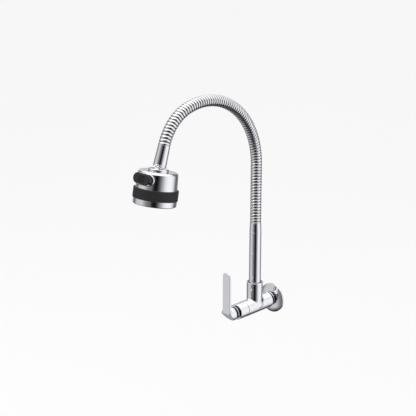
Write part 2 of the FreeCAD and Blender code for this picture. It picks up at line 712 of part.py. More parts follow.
# ---- upper neck and ball joint, built about Z with the ball's centre at the origin ----

NECK_LEAN = 180.0 - ARCH_END
hose_end = front_bend.point(ARCH_END)
BALL_CENTRE = hose_end + front_bend.heading(ARCH_END) * (UPPER_NECK_L + NECK_TO_BALL)


def upper_neck():
    low = NECK_TO_BALL
    high = NECK_TO_BALL + UPPER_NECK_L
    shoulder = STEM_L - RUN_FIT
    chamber_top = shoulder + STEM_CHAMBER_L
    outline = [(STEM_R + RUN_FIT, low), (FOOT_RING_R - FOOT_CHAMFER, low),
               (FOOT_RING_R, low + FOOT_CHAMFER), (FOOT_RING_R, low + FOOT_RING_H),
               (UPPER_NECK_R - NECK_GROOVE_D, low + FOOT_RING_H),
               (UPPER_NECK_R - NECK_GROOVE_D, low + FOOT_RING_H + NECK_GROOVE_H),
               (UPPER_NECK_R, low + FOOT_RING_H + NECK_GROOVE_H), (UPPER_NECK_TOP_R, high),
               (LINER_BORE_R, high), (LINER_BORE_R, chamber_top), (STEM_CHAMBER_R, chamber_top),
               (STEM_CHAMBER_R, shoulder), (STEM_R + RUN_FIT, shoulder)]
    return tilted(revolved_z(outline), NECK_LEAN, BALL_CENTRE)


def stem_ring_height():
    return NECK_TO_BALL + STEM_RING_RISE


def ball_nipple():
    """Hollow stem that turns in the neck, with the ball that the head tilts on."""
    ball = Part.makeSphere(BALL_R)
    stem = cyl_z(STEM_R, 0, STEM_L)
    collar = cyl_z(STEM_COLLAR_R, STEM_L, STEM_L + STEM_COLLAR_T)
    nipple = ball.fuse([stem, collar]).removeSplitter()
    nipple = nipple.cut(cyl_z(STEM_BORE_R, -BALL_R - 1, STEM_L + STEM_COLLAR_T + 1))
    nipple = nipple.cut(tube_z(STEM_R + 1, STEM_R - 2 * STEM_RING_R - JOIN_FIT,
                               stem_ring_height() - STEM_RING_R - JOIN_FIT,
                               stem_ring_height() + STEM_RING_R + JOIN_FIT))
    return tilted(nipple, NECK_LEAN, BALL_CENTRE)


def nipple_o_ring():
    return tilted(torus_z(STEM_R - STEM_RING_R, STEM_RING_R, stem_ring_height()), NECK_LEAN, BALL_CENTRE)


# ---- spray head, built about Z with the ball's centre at the origin and the outlet downwards ----

def in_head(shape):
    return tilted(shape, HEAD_TILT, BALL_CENTRE)


def socket_nut():
    """Flanged nut that holds the ball from above and screws into the head."""
    outline = [(NUT_MOUTH_R, -NUT_TOP), (NUT_R, -NUT_TOP), (NUT_R, -HEAD_TOP),
               (NUT_THREAD_R, -HEAD_TOP), (NUT_THREAD_R, -NUT_DEPTH),
               (NUT_LIP_R, -NUT_DEPTH), (NUT_LIP_R, -NUT_TOP - NUT_DISH)]
    nut = revolved_z(outline)
    nut = nut.cut(Part.makeSphere(BALL_R + RUN_FIT))
    nut = nut.cut(cyl_z(BALL_R + RUN_FIT, -NUT_DEPTH - 1, 0))
    edges = circle_edges(nut, NUT_R, -NUT_TOP, "z")
    return in_head(nut.makeFillet(NUT_EDGE, edges))


def ball_seat():
    """Soft seal that presses up against the ball inside the nut."""
    low = -NUT_DEPTH
    ring = tube_z(BALL_R, SEAT_BORE_R, low, low + SEAT_H)
    return in_head(ring.cut(Part.makeSphere(BALL_R + RUN_FIT)))


def head_shell():
    """Chrome cup, closed on top, with the carrier for the grip band below its skirt."""
    top = -HEAD_TOP
    side = top - HEAD_CORNER
    band = -BAND_TOP
    inner_top = HEAD_TOP_R - HEAD_WALL
    outer = [V(0, 0, top), V(HEAD_TOP_R - HEAD_CORNER, 0, top)]
    slack = HEAD_CORNER * (1 - math.sqrt(0.5))
    arc = Part.Arc(V(HEAD_TOP_R - HEAD_CORNER, 0, top), V(HEAD_TOP_R - slack, 0, top - slack),
                   V(HEAD_TOP_R, 0, side)).toShape()
    rest = [V(HEAD_TOP_R, 0, side), V(HEAD_BAND_R, 0, band), V(CARRIER_R, 0, band),
            V(CARRIER_R, 0, -BAND_BOTTOM), V(CARRIER_R - HEAD_WALL, 0, -BAND_BOTTOM),
            V(CARRIER_R - HEAD_WALL, 0, band + HEAD_WALL), V(inner_top, 0, side),
            V(inner_top - HEAD_WALL, 0, top - HEAD_WALL), V(0, 0, top - HEAD_WALL), V(0, 0, top)]
    edges = Part.makePolygon(outer).Edges + arc.Edges + Part.makePolygon(rest).Edges
    wire = Part.Wire(Part.__sortEdges__(edges))
    shell = Part.Face(wire).revolve(V(0, 0, 0), V(0, 0, 1), 360)
    shell = shell.cut(cyl_z(NUT_THREAD_R + JOIN_FIT, top - HEAD_WALL - 1, top + 1))
    gap = 2 * (BEZEL_RIM + JOIN_FIT)
    opening = pill(SWITCH_W + gap, SWITCH_H + gap, -BEZEL_FACE - 5, -BEZEL_BACK + 1, -SWITCH_DROP)
    return in_head(shell.cut(opening))


def grip_band():
    band = tube_z(BAND_R, CARRIER_R, -BAND_BOTTOM, -BAND_TOP)
    edges = circle_edges(band, BAND_R, -BAND_BOTTOM, "z") + circle_edges(band, BAND_R, -BAND_TOP, "z")
    return in_head(band.makeFillet(BAND_EDGE, edges))


def bottom_ring():
    inner = FOOT_R - FOOT_WALL
    ring = tube_z(FOOT_R, inner, -HEAD_BOTTOM, -BAND_BOTTOM)
    ring = ring.makeFillet(FOOT_EDGE, circle_edges(ring, FOOT_R, -HEAD_BOTTOM, "z"))
    ledge = tube_z(inner + 1, inner - LEDGE_W, -PLATE_TOP, -PLATE_TOP + LEDGE_H)
    return in_head(ring.fuse(ledge).removeSplitter())


def nozzle_places():
    """(x, y) of every spray nozzle on the face, ring by ring."""
    places = []
    for radius in NOZZLE_RINGS:
        count = int(2 * math.pi * radius / NOZZLE_PITCH)
        for number in range(count):
            turn = 2 * math.pi * number / count
            places.append((radius * math.cos(turn), radius * math.sin(turn)))
    return places


def nozzle_tips(radius, low):
    """A cylinder at every nozzle, from a height up into the mat behind the plate."""
    return [cyl_z(radius, low, -PLATE_TOP + GASKET_T / 2, x=x, y=y) for x, y in nozzle_places()]


def spray_plate():
    plate = cyl_z(FOOT_R - FOOT_WALL - JOIN_FIT, -PLATE_BOTTOM, -PLATE_TOP)
    plate = plate.cut(cyl_z(AERATOR_R + JOIN_FIT, -PLATE_BOTTOM - 1, -PLATE_TOP + 1))
    return in_head(plate.cut(nozzle_tips(NOZZLE_R + JOIN_FIT, -PLATE_BOTTOM - 1)))


def nozzle_mat():
    """Soft mat behind the plate, with a nozzle through every hole."""
    outer = FOOT_R - FOOT_WALL - MAT_INSET
    mat = tube_z(outer, AERATOR_R + MAT_INSET - 1.0, -PLATE_TOP, -PLATE_TOP + GASKET_T)
    return in_head(mat.fuse(nozzle_tips(NOZZLE_R, -PLATE_BOTTOM - NOZZLE_H)).removeSplitter())


def aerator_insert():
    """Stream outlet in the middle of the face: slotted cup with a flange."""
    low = -PLATE_BOTTOM
    body = cyl_z(AERATOR_R, low, low + AERATOR_T)
    body = body.cut(cyl_z(AERATOR_R - AERATOR_WALL, low + AERATOR_WALL, low + AERATOR_T + 1))
    slots = []
    for number in range(AERATOR_SLOTS):
        slot = Part.makeBox(AERATOR_SLOT_L, AERATOR_SLOT_W, 2 * AERATOR_WALL,
                            V(AERATOR_SLOT_START, -AERATOR_SLOT_W / 2, low - 1))
        slot.rotate(V(0, 0, 0), V(0, 0, 1), 360.0 * number / AERATOR_SLOTS)
        slots.append(slot)
    return in_head(body.cut(slots))


def manifold():
    """Water way from the ball to the two outlets, with the diverter's tower beside it."""
    low = -PLATE_TOP + GASKET_T + FACE_GAP
    column = cyl_z(MANIFOLD_R, low + SPREADER_H, -MANIFOLD_TOP)
    tower = cyl_z(TOWER_R, -TOWER_TOP - TOWER_L, -TOWER_TOP, y=-TOWER_OFFSET)
    tower = tower.cut(Part.makeBox(4 * TOWER_R, 4 * TOWER_R, 20,
                                   V(-2 * TOWER_R, -NUT_THREAD_R - MOVE_GAP, -NUT_DEPTH - FACE_GAP)))
    spreader = Part.makeCone(MANIFOLD_R, FOOT_R - FOOT_WALL - SPREADER_INSET, SPREADER_H,
                             V(0, 0, low + SPREADER_H), V(0, 0, -1))
    web = Part.makeBox(WEB_W, TOWER_OFFSET, TOWER_TOP + TOWER_L - WEB_TOP,
                       V(-WEB_W / 2, -TOWER_OFFSET, -TOWER_TOP - TOWER_L))
    block = column.fuse([tower, web, spreader]).removeSplitter()
    block = block.cut(cyl_z(MANIFOLD_BORE_R, low - 1, 0))
    block = block.cut(cyl_z(SPOOL_R + RUN_FIT, -TOWER_TOP - TOWER_L + TOWER_FLOOR, 0, y=-TOWER_OFFSET))
    slot = Part.makeBox(2 * (PEG_R + MOVE_GAP), 2 * TOWER_R, PEG_WINDOW_H,
                        V(-PEG_R - MOVE_GAP, -TOWER_OFFSET - 2 * TOWER_R, -SWITCH_DROP - PEG_WINDOW_H / 2))
    return in_head(block.cut(slot))


def switch_bezel():
    rim = pill(SWITCH_W + 2 * BEZEL_RIM, SWITCH_H + 2 * BEZEL_RIM, -BEZEL_FACE, -BEZEL_BACK, -SWITCH_DROP)
    edges = [edge for edge in rim.Edges if abs(edge.CenterOfMass.y + BEZEL_FACE) < 1e-6]
    rim = rim.makeFillet(BEZEL_EDGE, edges)
    well_floor = -SWITCH_FACE + SWITCH_T + BEZEL_DEPTH
    gap = 2 * MOVE_GAP
    rim = rim.cut(pill(SWITCH_W + gap, SWITCH_H + gap, -BEZEL_FACE - 1, well_floor, -SWITCH_DROP))
    well_h = SWITCH_H - gap
    rim = rim.cut(Part.makeBox(WELL_W, BEZEL_FACE, well_h,
                               V(-WELL_W / 2, -BEZEL_FACE - 1, -SWITCH_DROP - well_h / 2)))
    return in_head(rim.cut(pivot_shape(PIVOT_R + PIVOT_SEAT, PIVOT_L + 2 * PIVOT_END)))


def pivot_shape(radius, length):
    return Part.makeCylinder(radius, length, V(-length / 2, -PIVOT_DEPTH, -SWITCH_DROP), V(1, 0, 0))


def switch_pin():
    return in_head(pivot_shape(PIVOT_R, PIVOT_L))


def rocked(shape):
    """Turn a switch piece from its middle position to the one it rests in."""
    shape.rotate(V(0, -PIVOT_DEPTH, -SWITCH_DROP), V(1, 0, 0), -SWITCH_TILT)
    return shape


def switch_rocker():
    face = -SWITCH_FACE
    plate = pill(SWITCH_W, SWITCH_H, face, face + SWITCH_T, -SWITCH_DROP)
    edges = [edge for edge in plate.Edges if abs(edge.CenterOfMass.y - face) < 1e-6]
    plate = plate.makeFillet(ROCKER_EDGE, edges)
    ribs = []
    for number in range(RIB_COUNT):
        x = (number - (RIB_COUNT - 1) / 2.0) * RIB_PITCH
        ribs.append(cyl_z(RIB_R, -SWITCH_DROP - RIB_L / 2, -SWITCH_DROP + RIB_L / 2, x=x, y=face))
    boss = Part.makeBox(BOSS_W, SWITCH_FACE - PIVOT_DEPTH - 1.0, 2 * BOSS_R,
                       V(-BOSS_W / 2, face + 1.0, -SWITCH_DROP - BOSS_R))
    knuckle = Part.makeCylinder(BOSS_R, BOSS_W, V(-BOSS_W / 2, -PIVOT_DEPTH, -SWITCH_DROP), V(1, 0, 0))
    peg = cyl_y(PEG_R, -PIVOT_DEPTH + PIVOT_R + PEG_START, -TOWER_OFFSET, z=-SWITCH_DROP)
    tip = Part.makeSphere(PEG_R, V(0, -TOWER_OFFSET, -SWITCH_DROP))
    rocker = plate.fuse(ribs + [boss, knuckle, peg, tip]).removeSplitter()
    rocker = rocker.cut(pivot_shape(PIVOT_R + RUN_FIT, BOSS_W + 2))
    return in_head(rocked(rocker))


def spool_shift():
    """Distance that the rested switch holds the spool from its middle place."""
    return PEG_REACH * math.sin(math.radians(SWITCH_TILT))


def diverter_spool():
    """Plunger with a waist that the switch's peg moves up and down."""
    middle = -SWITCH_DROP
    waist = PEG_R + WAIST_FIT
    plug = cyl_z(SPOOL_R, middle - SPOOL_L / 2, middle + SPOOL_L / 2, y=-TOWER_OFFSET)
    notch = Part.makeBox(3 * SPOOL_R, 3 * SPOOL_R, 2 * waist,
                         V(-1.5 * SPOOL_R, -3 * SPOOL_R - TOWER_OFFSET + waist, middle - waist))
    plug = plug.cut(notch)
    for height in spool_ring_heights():
        plug = plug.cut(spool_groove(height))
    plug.translate(V(0, 0, -spool_shift()))
    return in_head(plug)


def spool_ring_heights():
    reach = SPOOL_L / 2 - SPOOL_RING_INSET
    return [-SWITCH_DROP - reach, -SWITCH_DROP + reach]


def spool_groove(height):
    half = SPOOL_RING_R + JOIN_FIT
    ring = tube_z(SPOOL_R + 1, SPOOL_R - 2 * SPOOL_RING_R - JOIN_FIT, height - half, height + half)
    ring.translate(V(0, -TOWER_OFFSET, 0))
    return ring


def spool_o_rings():
    rings = []
    for height in spool_ring_heights():
        ring = torus_z(SPOOL_R - SPOOL_RING_R, SPOOL_RING_R, height - spool_shift(), y=-TOWER_OFFSET)
        rings.append(in_head(ring))
    return Part.makeCompound(rings)


def write(node, shape):
    shape.exportStep("parts/" + node + ".step")


def main():
    os.makedirs("parts", exist_ok=True)
    builders = [wall_flange, inlet_nipple, inlet_lock_ring, inlet_washer, inlet_strainer,
                valve_body, riser_slip_ring, bonnet_sleeve, cartridge_housing, neck_ring, bonnet_o_ring,
                seat_seal, fixed_disc, moving_disc, spindle, spindle_o_rings,
                lever_handle, lever_grub_screw,
                riser_foot, riser_o_rings, riser_clip, riser_tube, lower_ferrule,
                upper_neck, ball_nipple, nipple_o_ring, socket_nut, ball_seat, head_shell, grip_band,
                bottom_ring, spray_plate, nozzle_mat, aerator_insert, manifold,
                switch_bezel, switch_pin, switch_rocker, diverter_spool, spool_o_rings]
    for build in builders:
        write(build.__name__, build())
    write("hose_segment_1", first_hose_segment())
    write("flow_liner_1", first_flow_liner())
    stations = arch_stations()
    for number, (bend, start, end) in enumerate(stations, start=2):
        last = number == len(stations) + 1
        write("hose_segment_%d" % number, moving_hose_segment(bend, start, end, last))
        write("flow_liner_%d" % number, moving_flow_liner(bend, start, end, last))


main()
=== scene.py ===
import itertools
import json
import math

import bmesh
import bpy
import numpy as np
from bpy.props import FloatProperty, FloatVectorProperty, IntProperty, PointerProperty
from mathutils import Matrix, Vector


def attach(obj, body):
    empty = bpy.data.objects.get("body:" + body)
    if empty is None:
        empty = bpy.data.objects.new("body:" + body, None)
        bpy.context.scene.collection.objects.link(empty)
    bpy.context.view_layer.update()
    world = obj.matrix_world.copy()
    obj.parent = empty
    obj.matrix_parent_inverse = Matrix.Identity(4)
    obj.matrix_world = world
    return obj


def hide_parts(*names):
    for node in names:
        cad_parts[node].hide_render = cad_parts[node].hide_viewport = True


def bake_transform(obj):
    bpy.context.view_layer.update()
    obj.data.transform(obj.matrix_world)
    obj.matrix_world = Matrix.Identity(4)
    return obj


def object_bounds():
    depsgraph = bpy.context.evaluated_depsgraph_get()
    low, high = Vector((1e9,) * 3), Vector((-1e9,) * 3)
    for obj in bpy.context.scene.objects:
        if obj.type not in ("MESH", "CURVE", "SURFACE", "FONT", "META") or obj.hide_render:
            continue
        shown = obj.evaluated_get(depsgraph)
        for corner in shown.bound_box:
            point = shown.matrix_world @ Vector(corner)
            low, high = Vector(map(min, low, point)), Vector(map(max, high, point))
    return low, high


bl_info = {
    "name": "Bendable Gooseneck Tap",
    "version": (1, 0, 0),
    "blender": (4, 5, 0),
    "location": "3D View > Sidebar > Tap",
    "description": "Wall tap with an upright lever, a ringed gooseneck and a two-mode spray head",
    "category": "Object",
}

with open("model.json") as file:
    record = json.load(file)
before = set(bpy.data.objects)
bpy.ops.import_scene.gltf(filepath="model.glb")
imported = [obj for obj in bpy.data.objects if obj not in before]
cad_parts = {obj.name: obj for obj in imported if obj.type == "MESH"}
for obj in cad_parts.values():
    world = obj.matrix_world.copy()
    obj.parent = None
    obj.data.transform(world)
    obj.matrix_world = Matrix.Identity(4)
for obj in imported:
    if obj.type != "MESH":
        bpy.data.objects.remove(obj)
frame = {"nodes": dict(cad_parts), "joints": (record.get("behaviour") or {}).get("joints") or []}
CAD_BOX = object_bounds()

MM = 0.001
FIT = 0.05              # clearance of a bore round the piece that fills it
PAST = 5.0              # how far a cutter runs past the face that it opens
CREASE_DEGREES = 34.0   # edges sharper than this stay sharp
PLAIN_NODES = dict(frame["nodes"])
JOINTS = {joint["name"]: joint for joint in frame["joints"]}


# ---- places taken from the frame, in millimetres ----

def unit(vector):
    vector = np.asarray(vector, float)
    return vector / np.linalg.norm(vector)


def joint_point(name):
    return np.array(JOINTS[name]["pos_m"], float) / MM


def node_points(node):
    """Every vertex of a CAD node, in millimetres."""
    return np.array([vertex.co for vertex in PLAIN_NODES[node].data.vertices], float) / MM


class Axis:
    """A line that pieces are built about: x stays the row's X, z runs along the line."""

    def __init__(self, point, along):
        self.point = np.asarray(point, float)
        z = unit(along)
        x = np.array([1.0, 0.0, 0.0])
        self.frame = np.array([x, np.cross(z, x), z])

    def world(self, local):
        return self.point + np.asarray(local) @ self.frame

    def local(self, world):
        return (np.asarray(world) - self.point) @ self.frame.T

    def reach(self, node):
        """Lowest and highest station of a CAD node along the line."""
        stations = self.local(node_points(node))[:, 2]
        return stations.min(), stations.max()

    def girth(self, node):
        """Largest radius of a CAD node about the line."""
        points = self.local(node_points(node))
        return np.hypot(points[:, 0], points[:, 1]).max()


ROW = Axis((0, 0, 0), (0, 0, 1))
INLET = Axis((0, 0, 0), (0, -1, 0))
RISER = Axis((0, joint_point("spout_swivel")[1], 0), (0, 0, 1))
NECK = Axis(joint_point("head_swivel"), JOINTS["head_swivel"]["axis"])
HEAD = Axis(joint_point("head_tilt"), JOINTS["diverter_slide"]["axis"])


# ---- outlines and round pieces ----

def rounded(corners, arc_step=0.2):
    """Closed (radius, height) outline whose corners (radius, height, fillet) are eased into arcs."""
    points = []
    for index, corner in enumerate(corners):
        here = np.array(corner[:2], float)
        fillet = corner[2] if len(corner) > 2 else 0.0
        if fillet == 0.0:
            points.append(here)
            continue
        to_last = np.array(corners[index - 1][:2]) - here
        to_next = np.array(corners[(index + 1) % len(corners)][:2]) - here
        last_length = np.linalg.norm(to_last)
        next_length = np.linalg.norm(to_next)
        to_last /= last_length
        to_next /= next_length
        half = 0.5 * math.acos(np.clip(to_last @ to_next, -1, 1))
        reach = min(fillet / math.tan(half), 0.48 * last_length, 0.48 * next_length)
        radius = reach * math.tan(half)
        centre = here + unit(to_last + to_next) * radius / math.sin(half)
        first = here + to_last * reach - centre
        second = here + to_next * reach - centre
        sweep = math.pi - 2 * half
        steps = max(2, math.ceil(sweep / arc_step))
        for step in range(steps + 1):
            share = step / steps
            blend = math.sin((1 - share) * sweep) * first + math.sin(share * sweep) * second
            points.append(centre + blend / math.sin(sweep))
    return points


def arc_through(first, middle, last, steps=14):
    """Points of the circle through three points, from the first to the last."""
    a, b, c = (complex(*point) for point in (first, middle, last))
    w = (c - a) / (b - a)
    centre = (b - a) * (w - abs(w) ** 2) / (2j * w.imag) + a
    radius = abs(a - centre)
    start = np.angle(a - centre)
    sweep = np.angle((c - centre) / (a - centre))
    turns = start + sweep * np.linspace(0, 1, steps + 1)
    return [(centre.real + radius * math.cos(t), centre.imag + radius * math.sin(t)) for t in turns]


def turned(axis, outline, sides=112):
    """Vertices and faces of a closed outline turned about an axis."""
    turns = np.linspace(0, 2 * math.pi, sides, endpoint=False)
    ring = np.stack([np.cos(turns), np.sin(turns)], 1)
    vertices, starts = [], []
    for radius, height in outline:
        starts.append((len(vertices), radius < 1e-6))
        if radius < 1e-6:
            vertices.append((0.0, 0.0, height))
        else:
            vertices.extend((radius * x, radius * y, height) for x, y in ring)
    faces = []
    for index, (here, here_pole) in enumerate(starts):
        there, there_pole = starts[(index + 1) % len(starts)]
        if here_pole and there_pole:
            continue
        for side in range(sides):
            after = (side + 1) % sides
            if here_pole:
                faces.append((here, there + after, there + side))
            elif there_pole:
                faces.append((here + side, here + after, there))
            else:
                faces.append((here + side, here + after, there + after, there + side))
    return axis.world(np.array(vertices)), faces


def ring_faces(count, sides):
    """Faces that join rings of points into a closed sleeve, the last ring to the first."""
    faces = []
    for index in range(count):
        here = index * sides
        there = (index + 1) % count * sides
        for side in range(sides):
            after = (side + 1) % sides
            faces.append((here + side, there + side, there + after, here + after))
    return faces


# ---- sculpted pieces: surfaces of distance fields ----

def soft_join(a, b, blend):
    """Union of two fields with a fillet between them."""
    share = np.clip(0.5 + 0.5 * (b - a) / blend, 0, 1)
    return b * (1 - share) + a * share - blend * share * (1 - share)


def soft_cut(a, b, blend):
    """The first field with the second taken out, its edge eased."""
    return -soft_join(-a, b, blend)


def slab(flat, along, low, high, edge):
    """A flat outline's field drawn out between two stations, with rounded edges."""
    across = flat + edge
    ends = np.abs(along - 0.5 * (low + high)) - 0.5 * (high - low) + edge
    outside = np.hypot(np.maximum(across, 0), np.maximum(ends, 0))
    return np.minimum(np.maximum(across, ends), 0) + outside - edge


def pill(x, z, width, height):
    """Field of a rounded-end bar, wide along x."""
    return np.hypot(np.maximum(np.abs(x) - 0.5 * (width - height), 0), z) - 0.5 * height


def box_outline(x, z, half_x, half_z, corner):
    across = np.abs(x) - half_x + corner
    up = np.abs(z) - half_z + corner
    outside = np.hypot(np.maximum(across, 0), np.maximum(up, 0))
    return np.minimum(np.maximum(across, up), 0) + outside - corner


def slopes(field, points, reach=0.01):
    """Gradient of a field at each point."""
    found = np.empty_like(points)
    for axis in range(3):
        step = np.zeros(3)
        step[axis] = reach
        ahead = points + step
        behind = points - step
        found[:, axis] = (field(*ahead.T) - field(*behind.T)) / (2 * reach)
    return found


def sculpted(field, low, high, step):
    """Vertices, faces and normals of the surface where a field is zero."""
    margin = 2.5 * step
    rounds = 5                # times that points are moved onto the surface
    longest = 0.5 * step      # most that a point moves in one round
    flattest = 0.05           # least squared slope that a move divides by
    marks = [np.arange(low[i] - margin, high[i] + margin, step) for i in range(3)]
    depth = field(*np.meshgrid(*marks, indexing="ij"))
    inside = depth < 0
    shape = np.array(depth.shape)
    cells = shape - 1
    count = np.zeros(cells, np.int8)
    for corner in itertools.product((0, 1), repeat=3):
        window = tuple(slice(c, c + n) for c, n in zip(corner, cells))
        count += inside[window]
    crossed = np.argwhere((count > 0) & (count < 8))
    number = np.full(cells, -1, np.int64)
    number[tuple(crossed.T)] = np.arange(len(crossed))
    total = np.zeros((len(crossed), 3))
    hits = np.zeros(len(crossed))
    for axis in range(3):
        others = [i for i in range(3) if i != axis]
        for offset in itertools.product((0, 1), repeat=2):
            start = crossed.copy()
            start[:, others] += offset
            end = start.copy()
            end[:, axis] += 1
            near = depth[tuple(start.T)]
            far = depth[tuple(end.T)]
            through = (near < 0) != (far < 0)
            share = np.where(through, near / np.where(through, near - far, 1.0), 0.0)
            place = start.astype(float)
            place[:, axis] += share
            total[through] += place[through]
            hits += through
    origin = np.array([mark[0] for mark in marks])
    points = origin + step * total / hits[:, None]
    for _ in range(rounds):
        slope = slopes(field, points)
        size = np.maximum((slope ** 2).sum(1), flattest)
        move = -slope * (field(*points.T) / size)[:, None]
        length = np.linalg.norm(move, axis=1)
        points += move * np.minimum(1.0, longest / np.maximum(length, 1e-9))[:, None]
    normals = slopes(field, points)
    normals /= np.maximum(np.linalg.norm(normals, axis=1), 1e-9)[:, None]
    faces = []
    for axis in range(3):
        first, second = [i for i in range(3) if i != axis]
        lead = [slice(1, n - 1) for n in shape]
        lead[axis] = slice(0, shape[axis] - 1)
        trail = list(lead)
        trail[axis] = slice(1, shape[axis])
        edge = inside[tuple(lead)] != inside[tuple(trail)]
        places = np.argwhere(edge) + np.array([s.start for s in lead])
        leaving = inside[tuple(places.T)]
        ring = []
        for a, b in ((-1, -1), (0, -1), (0, 0), (-1, 0)):
            cell = places.copy()
            cell[:, first] += a
            cell[:, second] += b
            ring.append(number[tuple(cell.T)])
        quads = np.stack(ring, 1)
        forward = leaving if axis != 1 else ~leaving
        quads[~forward] = quads[~forward][:, ::-1]
        faces.append(quads)
    return points, np.concatenate(faces).tolist(), normals


# ---- pieces ----

def make_piece(name, shape, body, slot, stands_for, finish=None, groove=None):
    """Put a piece's mesh in the scene with its body and its finish, and hide the CAD nodes it replaces."""
    vertices, faces = shape[:2]
    normals = shape[2] if len(shape) > 2 else None
    mesh = bpy.data.meshes.new(name)
    mesh.from_pydata((np.asarray(vertices) * MM).tolist(), [], faces)
    if normals is None:
        sheet = bmesh.new()
        sheet.from_mesh(mesh)
        bmesh.ops.recalc_face_normals(sheet, faces=sheet.faces)
        sheet.to_mesh(mesh)
        sheet.free()
    mesh.shade_smooth()
    piece = bpy.data.objects.new(name, mesh)
    bpy.context.scene.collection.objects.link(piece)
    if normals is None:
        mesh.set_sharp_from_angle(angle=math.radians(CREASE_DEGREES))
        weighted = piece.modifiers.new("flat_faces_first", "WEIGHTED_NORMAL")
        weighted.keep_sharp = True
    else:
        mesh.normals_split_custom_set_from_vertices(normals)
    if groove is not None:
        mesh.attributes.new("groove", "FLOAT", "POINT").data.foreach_set("value", groove)
    mesh.materials.append(finish_for(finish or slot))
    if body:
        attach(piece, body)
    if stands_for:
        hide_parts(*stands_for)
    return piece


def placed(axis, shape):
    """A sculpted shape moved from an axis's own coordinates into the row's."""
    points, faces, normals = shape
    return axis.world(points), faces, normals @ axis.frame


# ---- shader sheets ----

class Value:
    """A shader socket that Python arithmetic works on."""

    def __init__(self, sheet, socket):
        self.sheet = sheet
        self.socket = socket

    def maths(self, operation, *values):
        inputs = dict(enumerate(values))
        return self.sheet.node("ShaderNodeMath", {"operation": operation}, inputs)

    def __add__(self, other):
        return self.maths("ADD", self, other)

    def __radd__(self, other):
        return self.maths("ADD", other, self)

    def __sub__(self, other):
        return self.maths("SUBTRACT", self, other)

    def __rsub__(self, other):
        return self.maths("SUBTRACT", other, self)

    def __mul__(self, other):
        return self.maths("MULTIPLY", self, other)

    def __rmul__(self, other):
        return self.maths("MULTIPLY", other, self)

    def __truediv__(self, other):
        return self.maths("DIVIDE", self, other)

    def __rtruediv__(self, other):
        return self.maths("DIVIDE", other, self)

    def __pow__(self, other):
        return self.maths("POWER", self, other)


class Sheet:
    """A node tree being written, for a finish or for the studio's surroundings."""

    def __init__(self, tree):
        self.tree = tree
        tree.nodes.clear()

    def node(self, kind, settings=None, inputs=None, output=0):
        """Add one node: its settings first, then a value or a link for each named input."""
        made = self.tree.nodes.new(kind)
        for key, value in (settings or {}).items():
            if key == "stops":
                self.set_stops(made.color_ramp, value)
            else:
                setattr(made, key, value)
        for key, value in (inputs or {}).items():
            if isinstance(value, Value):
                self.tree.links.new(value.socket, made.inputs[key])
            else:
                made.inputs[key].default_value = value
        return Value(self, made.outputs[output])

    @staticmethod
    def set_stops(ramp, stops):
        while len(ramp.elements) > 1:
            ramp.elements.remove(ramp.elements[-1])
        for index, (place, colour) in enumerate(stops):
            stop = ramp.elements[0] if index == 0 else ramp.elements.new(place)
            stop.position = place
            stop.color = (*colour, 1.0)

    def mix(self, share, first, second):
        """Colour between two colours."""
        colours = [c if isinstance(c, Value) else (*c, 1.0) for c in (first, second)]
        return self.node("ShaderNodeMix", {"data_type": "RGBA"},
                         {0: share, 6: colours[0], 7: colours[1]}, output=2)

    def smooth(self, value, low, high):
        """0 below one value, 1 above another, eased between them."""
        return self.node("ShaderNodeMapRange", {"interpolation_type": "SMOOTHSTEP"},
                         {0: value, 1: low, 2: high, 3: 0.0, 4: 1.0})


class Finish(Sheet):
    """A procedural finish on the Principled shader, with places measured in millimetres."""

    def __init__(self, name, **constants):
        self.material = bpy.data.materials.new(name)
        self.material.use_nodes = True
        super().__init__(self.material.node_tree)
        output = self.tree.nodes.new("ShaderNodeOutputMaterial")
        self.shader = self.tree.nodes.new("ShaderNodeBsdfPrincipled")
        self.tree.links.new(self.shader.outputs[0], output.inputs[0])
        for key, value in constants.items():
            label = key.replace("_", " ").title().replace("Ior", "IOR")
            self.shader.inputs[label].default_value = (*value, 1.0) if hasattr(value, "__len__") else value
        place = self.node("ShaderNodeTexCoord", output=3)
        self.place = self.node("ShaderNodeVectorMath", {"operation": "SCALE"}, {0: place, 3: 1 / MM})

    def noise(self, size, detail=2.0, rough=0.5, shift=0.0, stretch=None):
        """Cloudy variation whose lumps are about this many millimetres across."""
        place = self.place
        if stretch:
            place = self.node("ShaderNodeVectorMath", {"operation": "MULTIPLY"}, {0: place, 1: stretch})
        return self.node("ShaderNodeTexNoise", {"noise_dimensions": "4D"},
                         {"Vector": place, "W": shift, "Scale": 1.0 / size, "Detail": detail,
                          "Roughness": rough})

    def cells(self, size, feature="F1", spread=1.0):
        return self.node("ShaderNodeTexVoronoi", {"feature": feature},
                         {"Vector": self.place, "Scale": 1.0 / size, "Randomness": spread})

    def colour(self, value):
        self.tree.links.new(value.socket, self.shader.inputs["Base Color"])

    def roughness(self, value):
        self.tree.links.new(value.socket, self.shader.inputs["Roughness"])

    def relief(self, height, depth, strength=1.0):
        """Bump of a height map whose 0 to 1 spans a depth in millimetres."""
        normal = self.node("ShaderNodeBump", None,
                           {"Strength": strength, "Distance": depth * MM, "Height": height})
        self.tree.links.new(normal.socket, self.shader.inputs["Normal"])


def scratches(finish, size, turn):
    """Thin random polishing lines: 1 on a line, 0 elsewhere."""
    stretch = (0.06, 1.0, 0.06) if turn else (1.0, 0.06, 0.06)
    lines = finish.noise(size, detail=1.0, shift=3.0 + turn, stretch=stretch)
    return finish.smooth(lines, 0.66, 0.74)


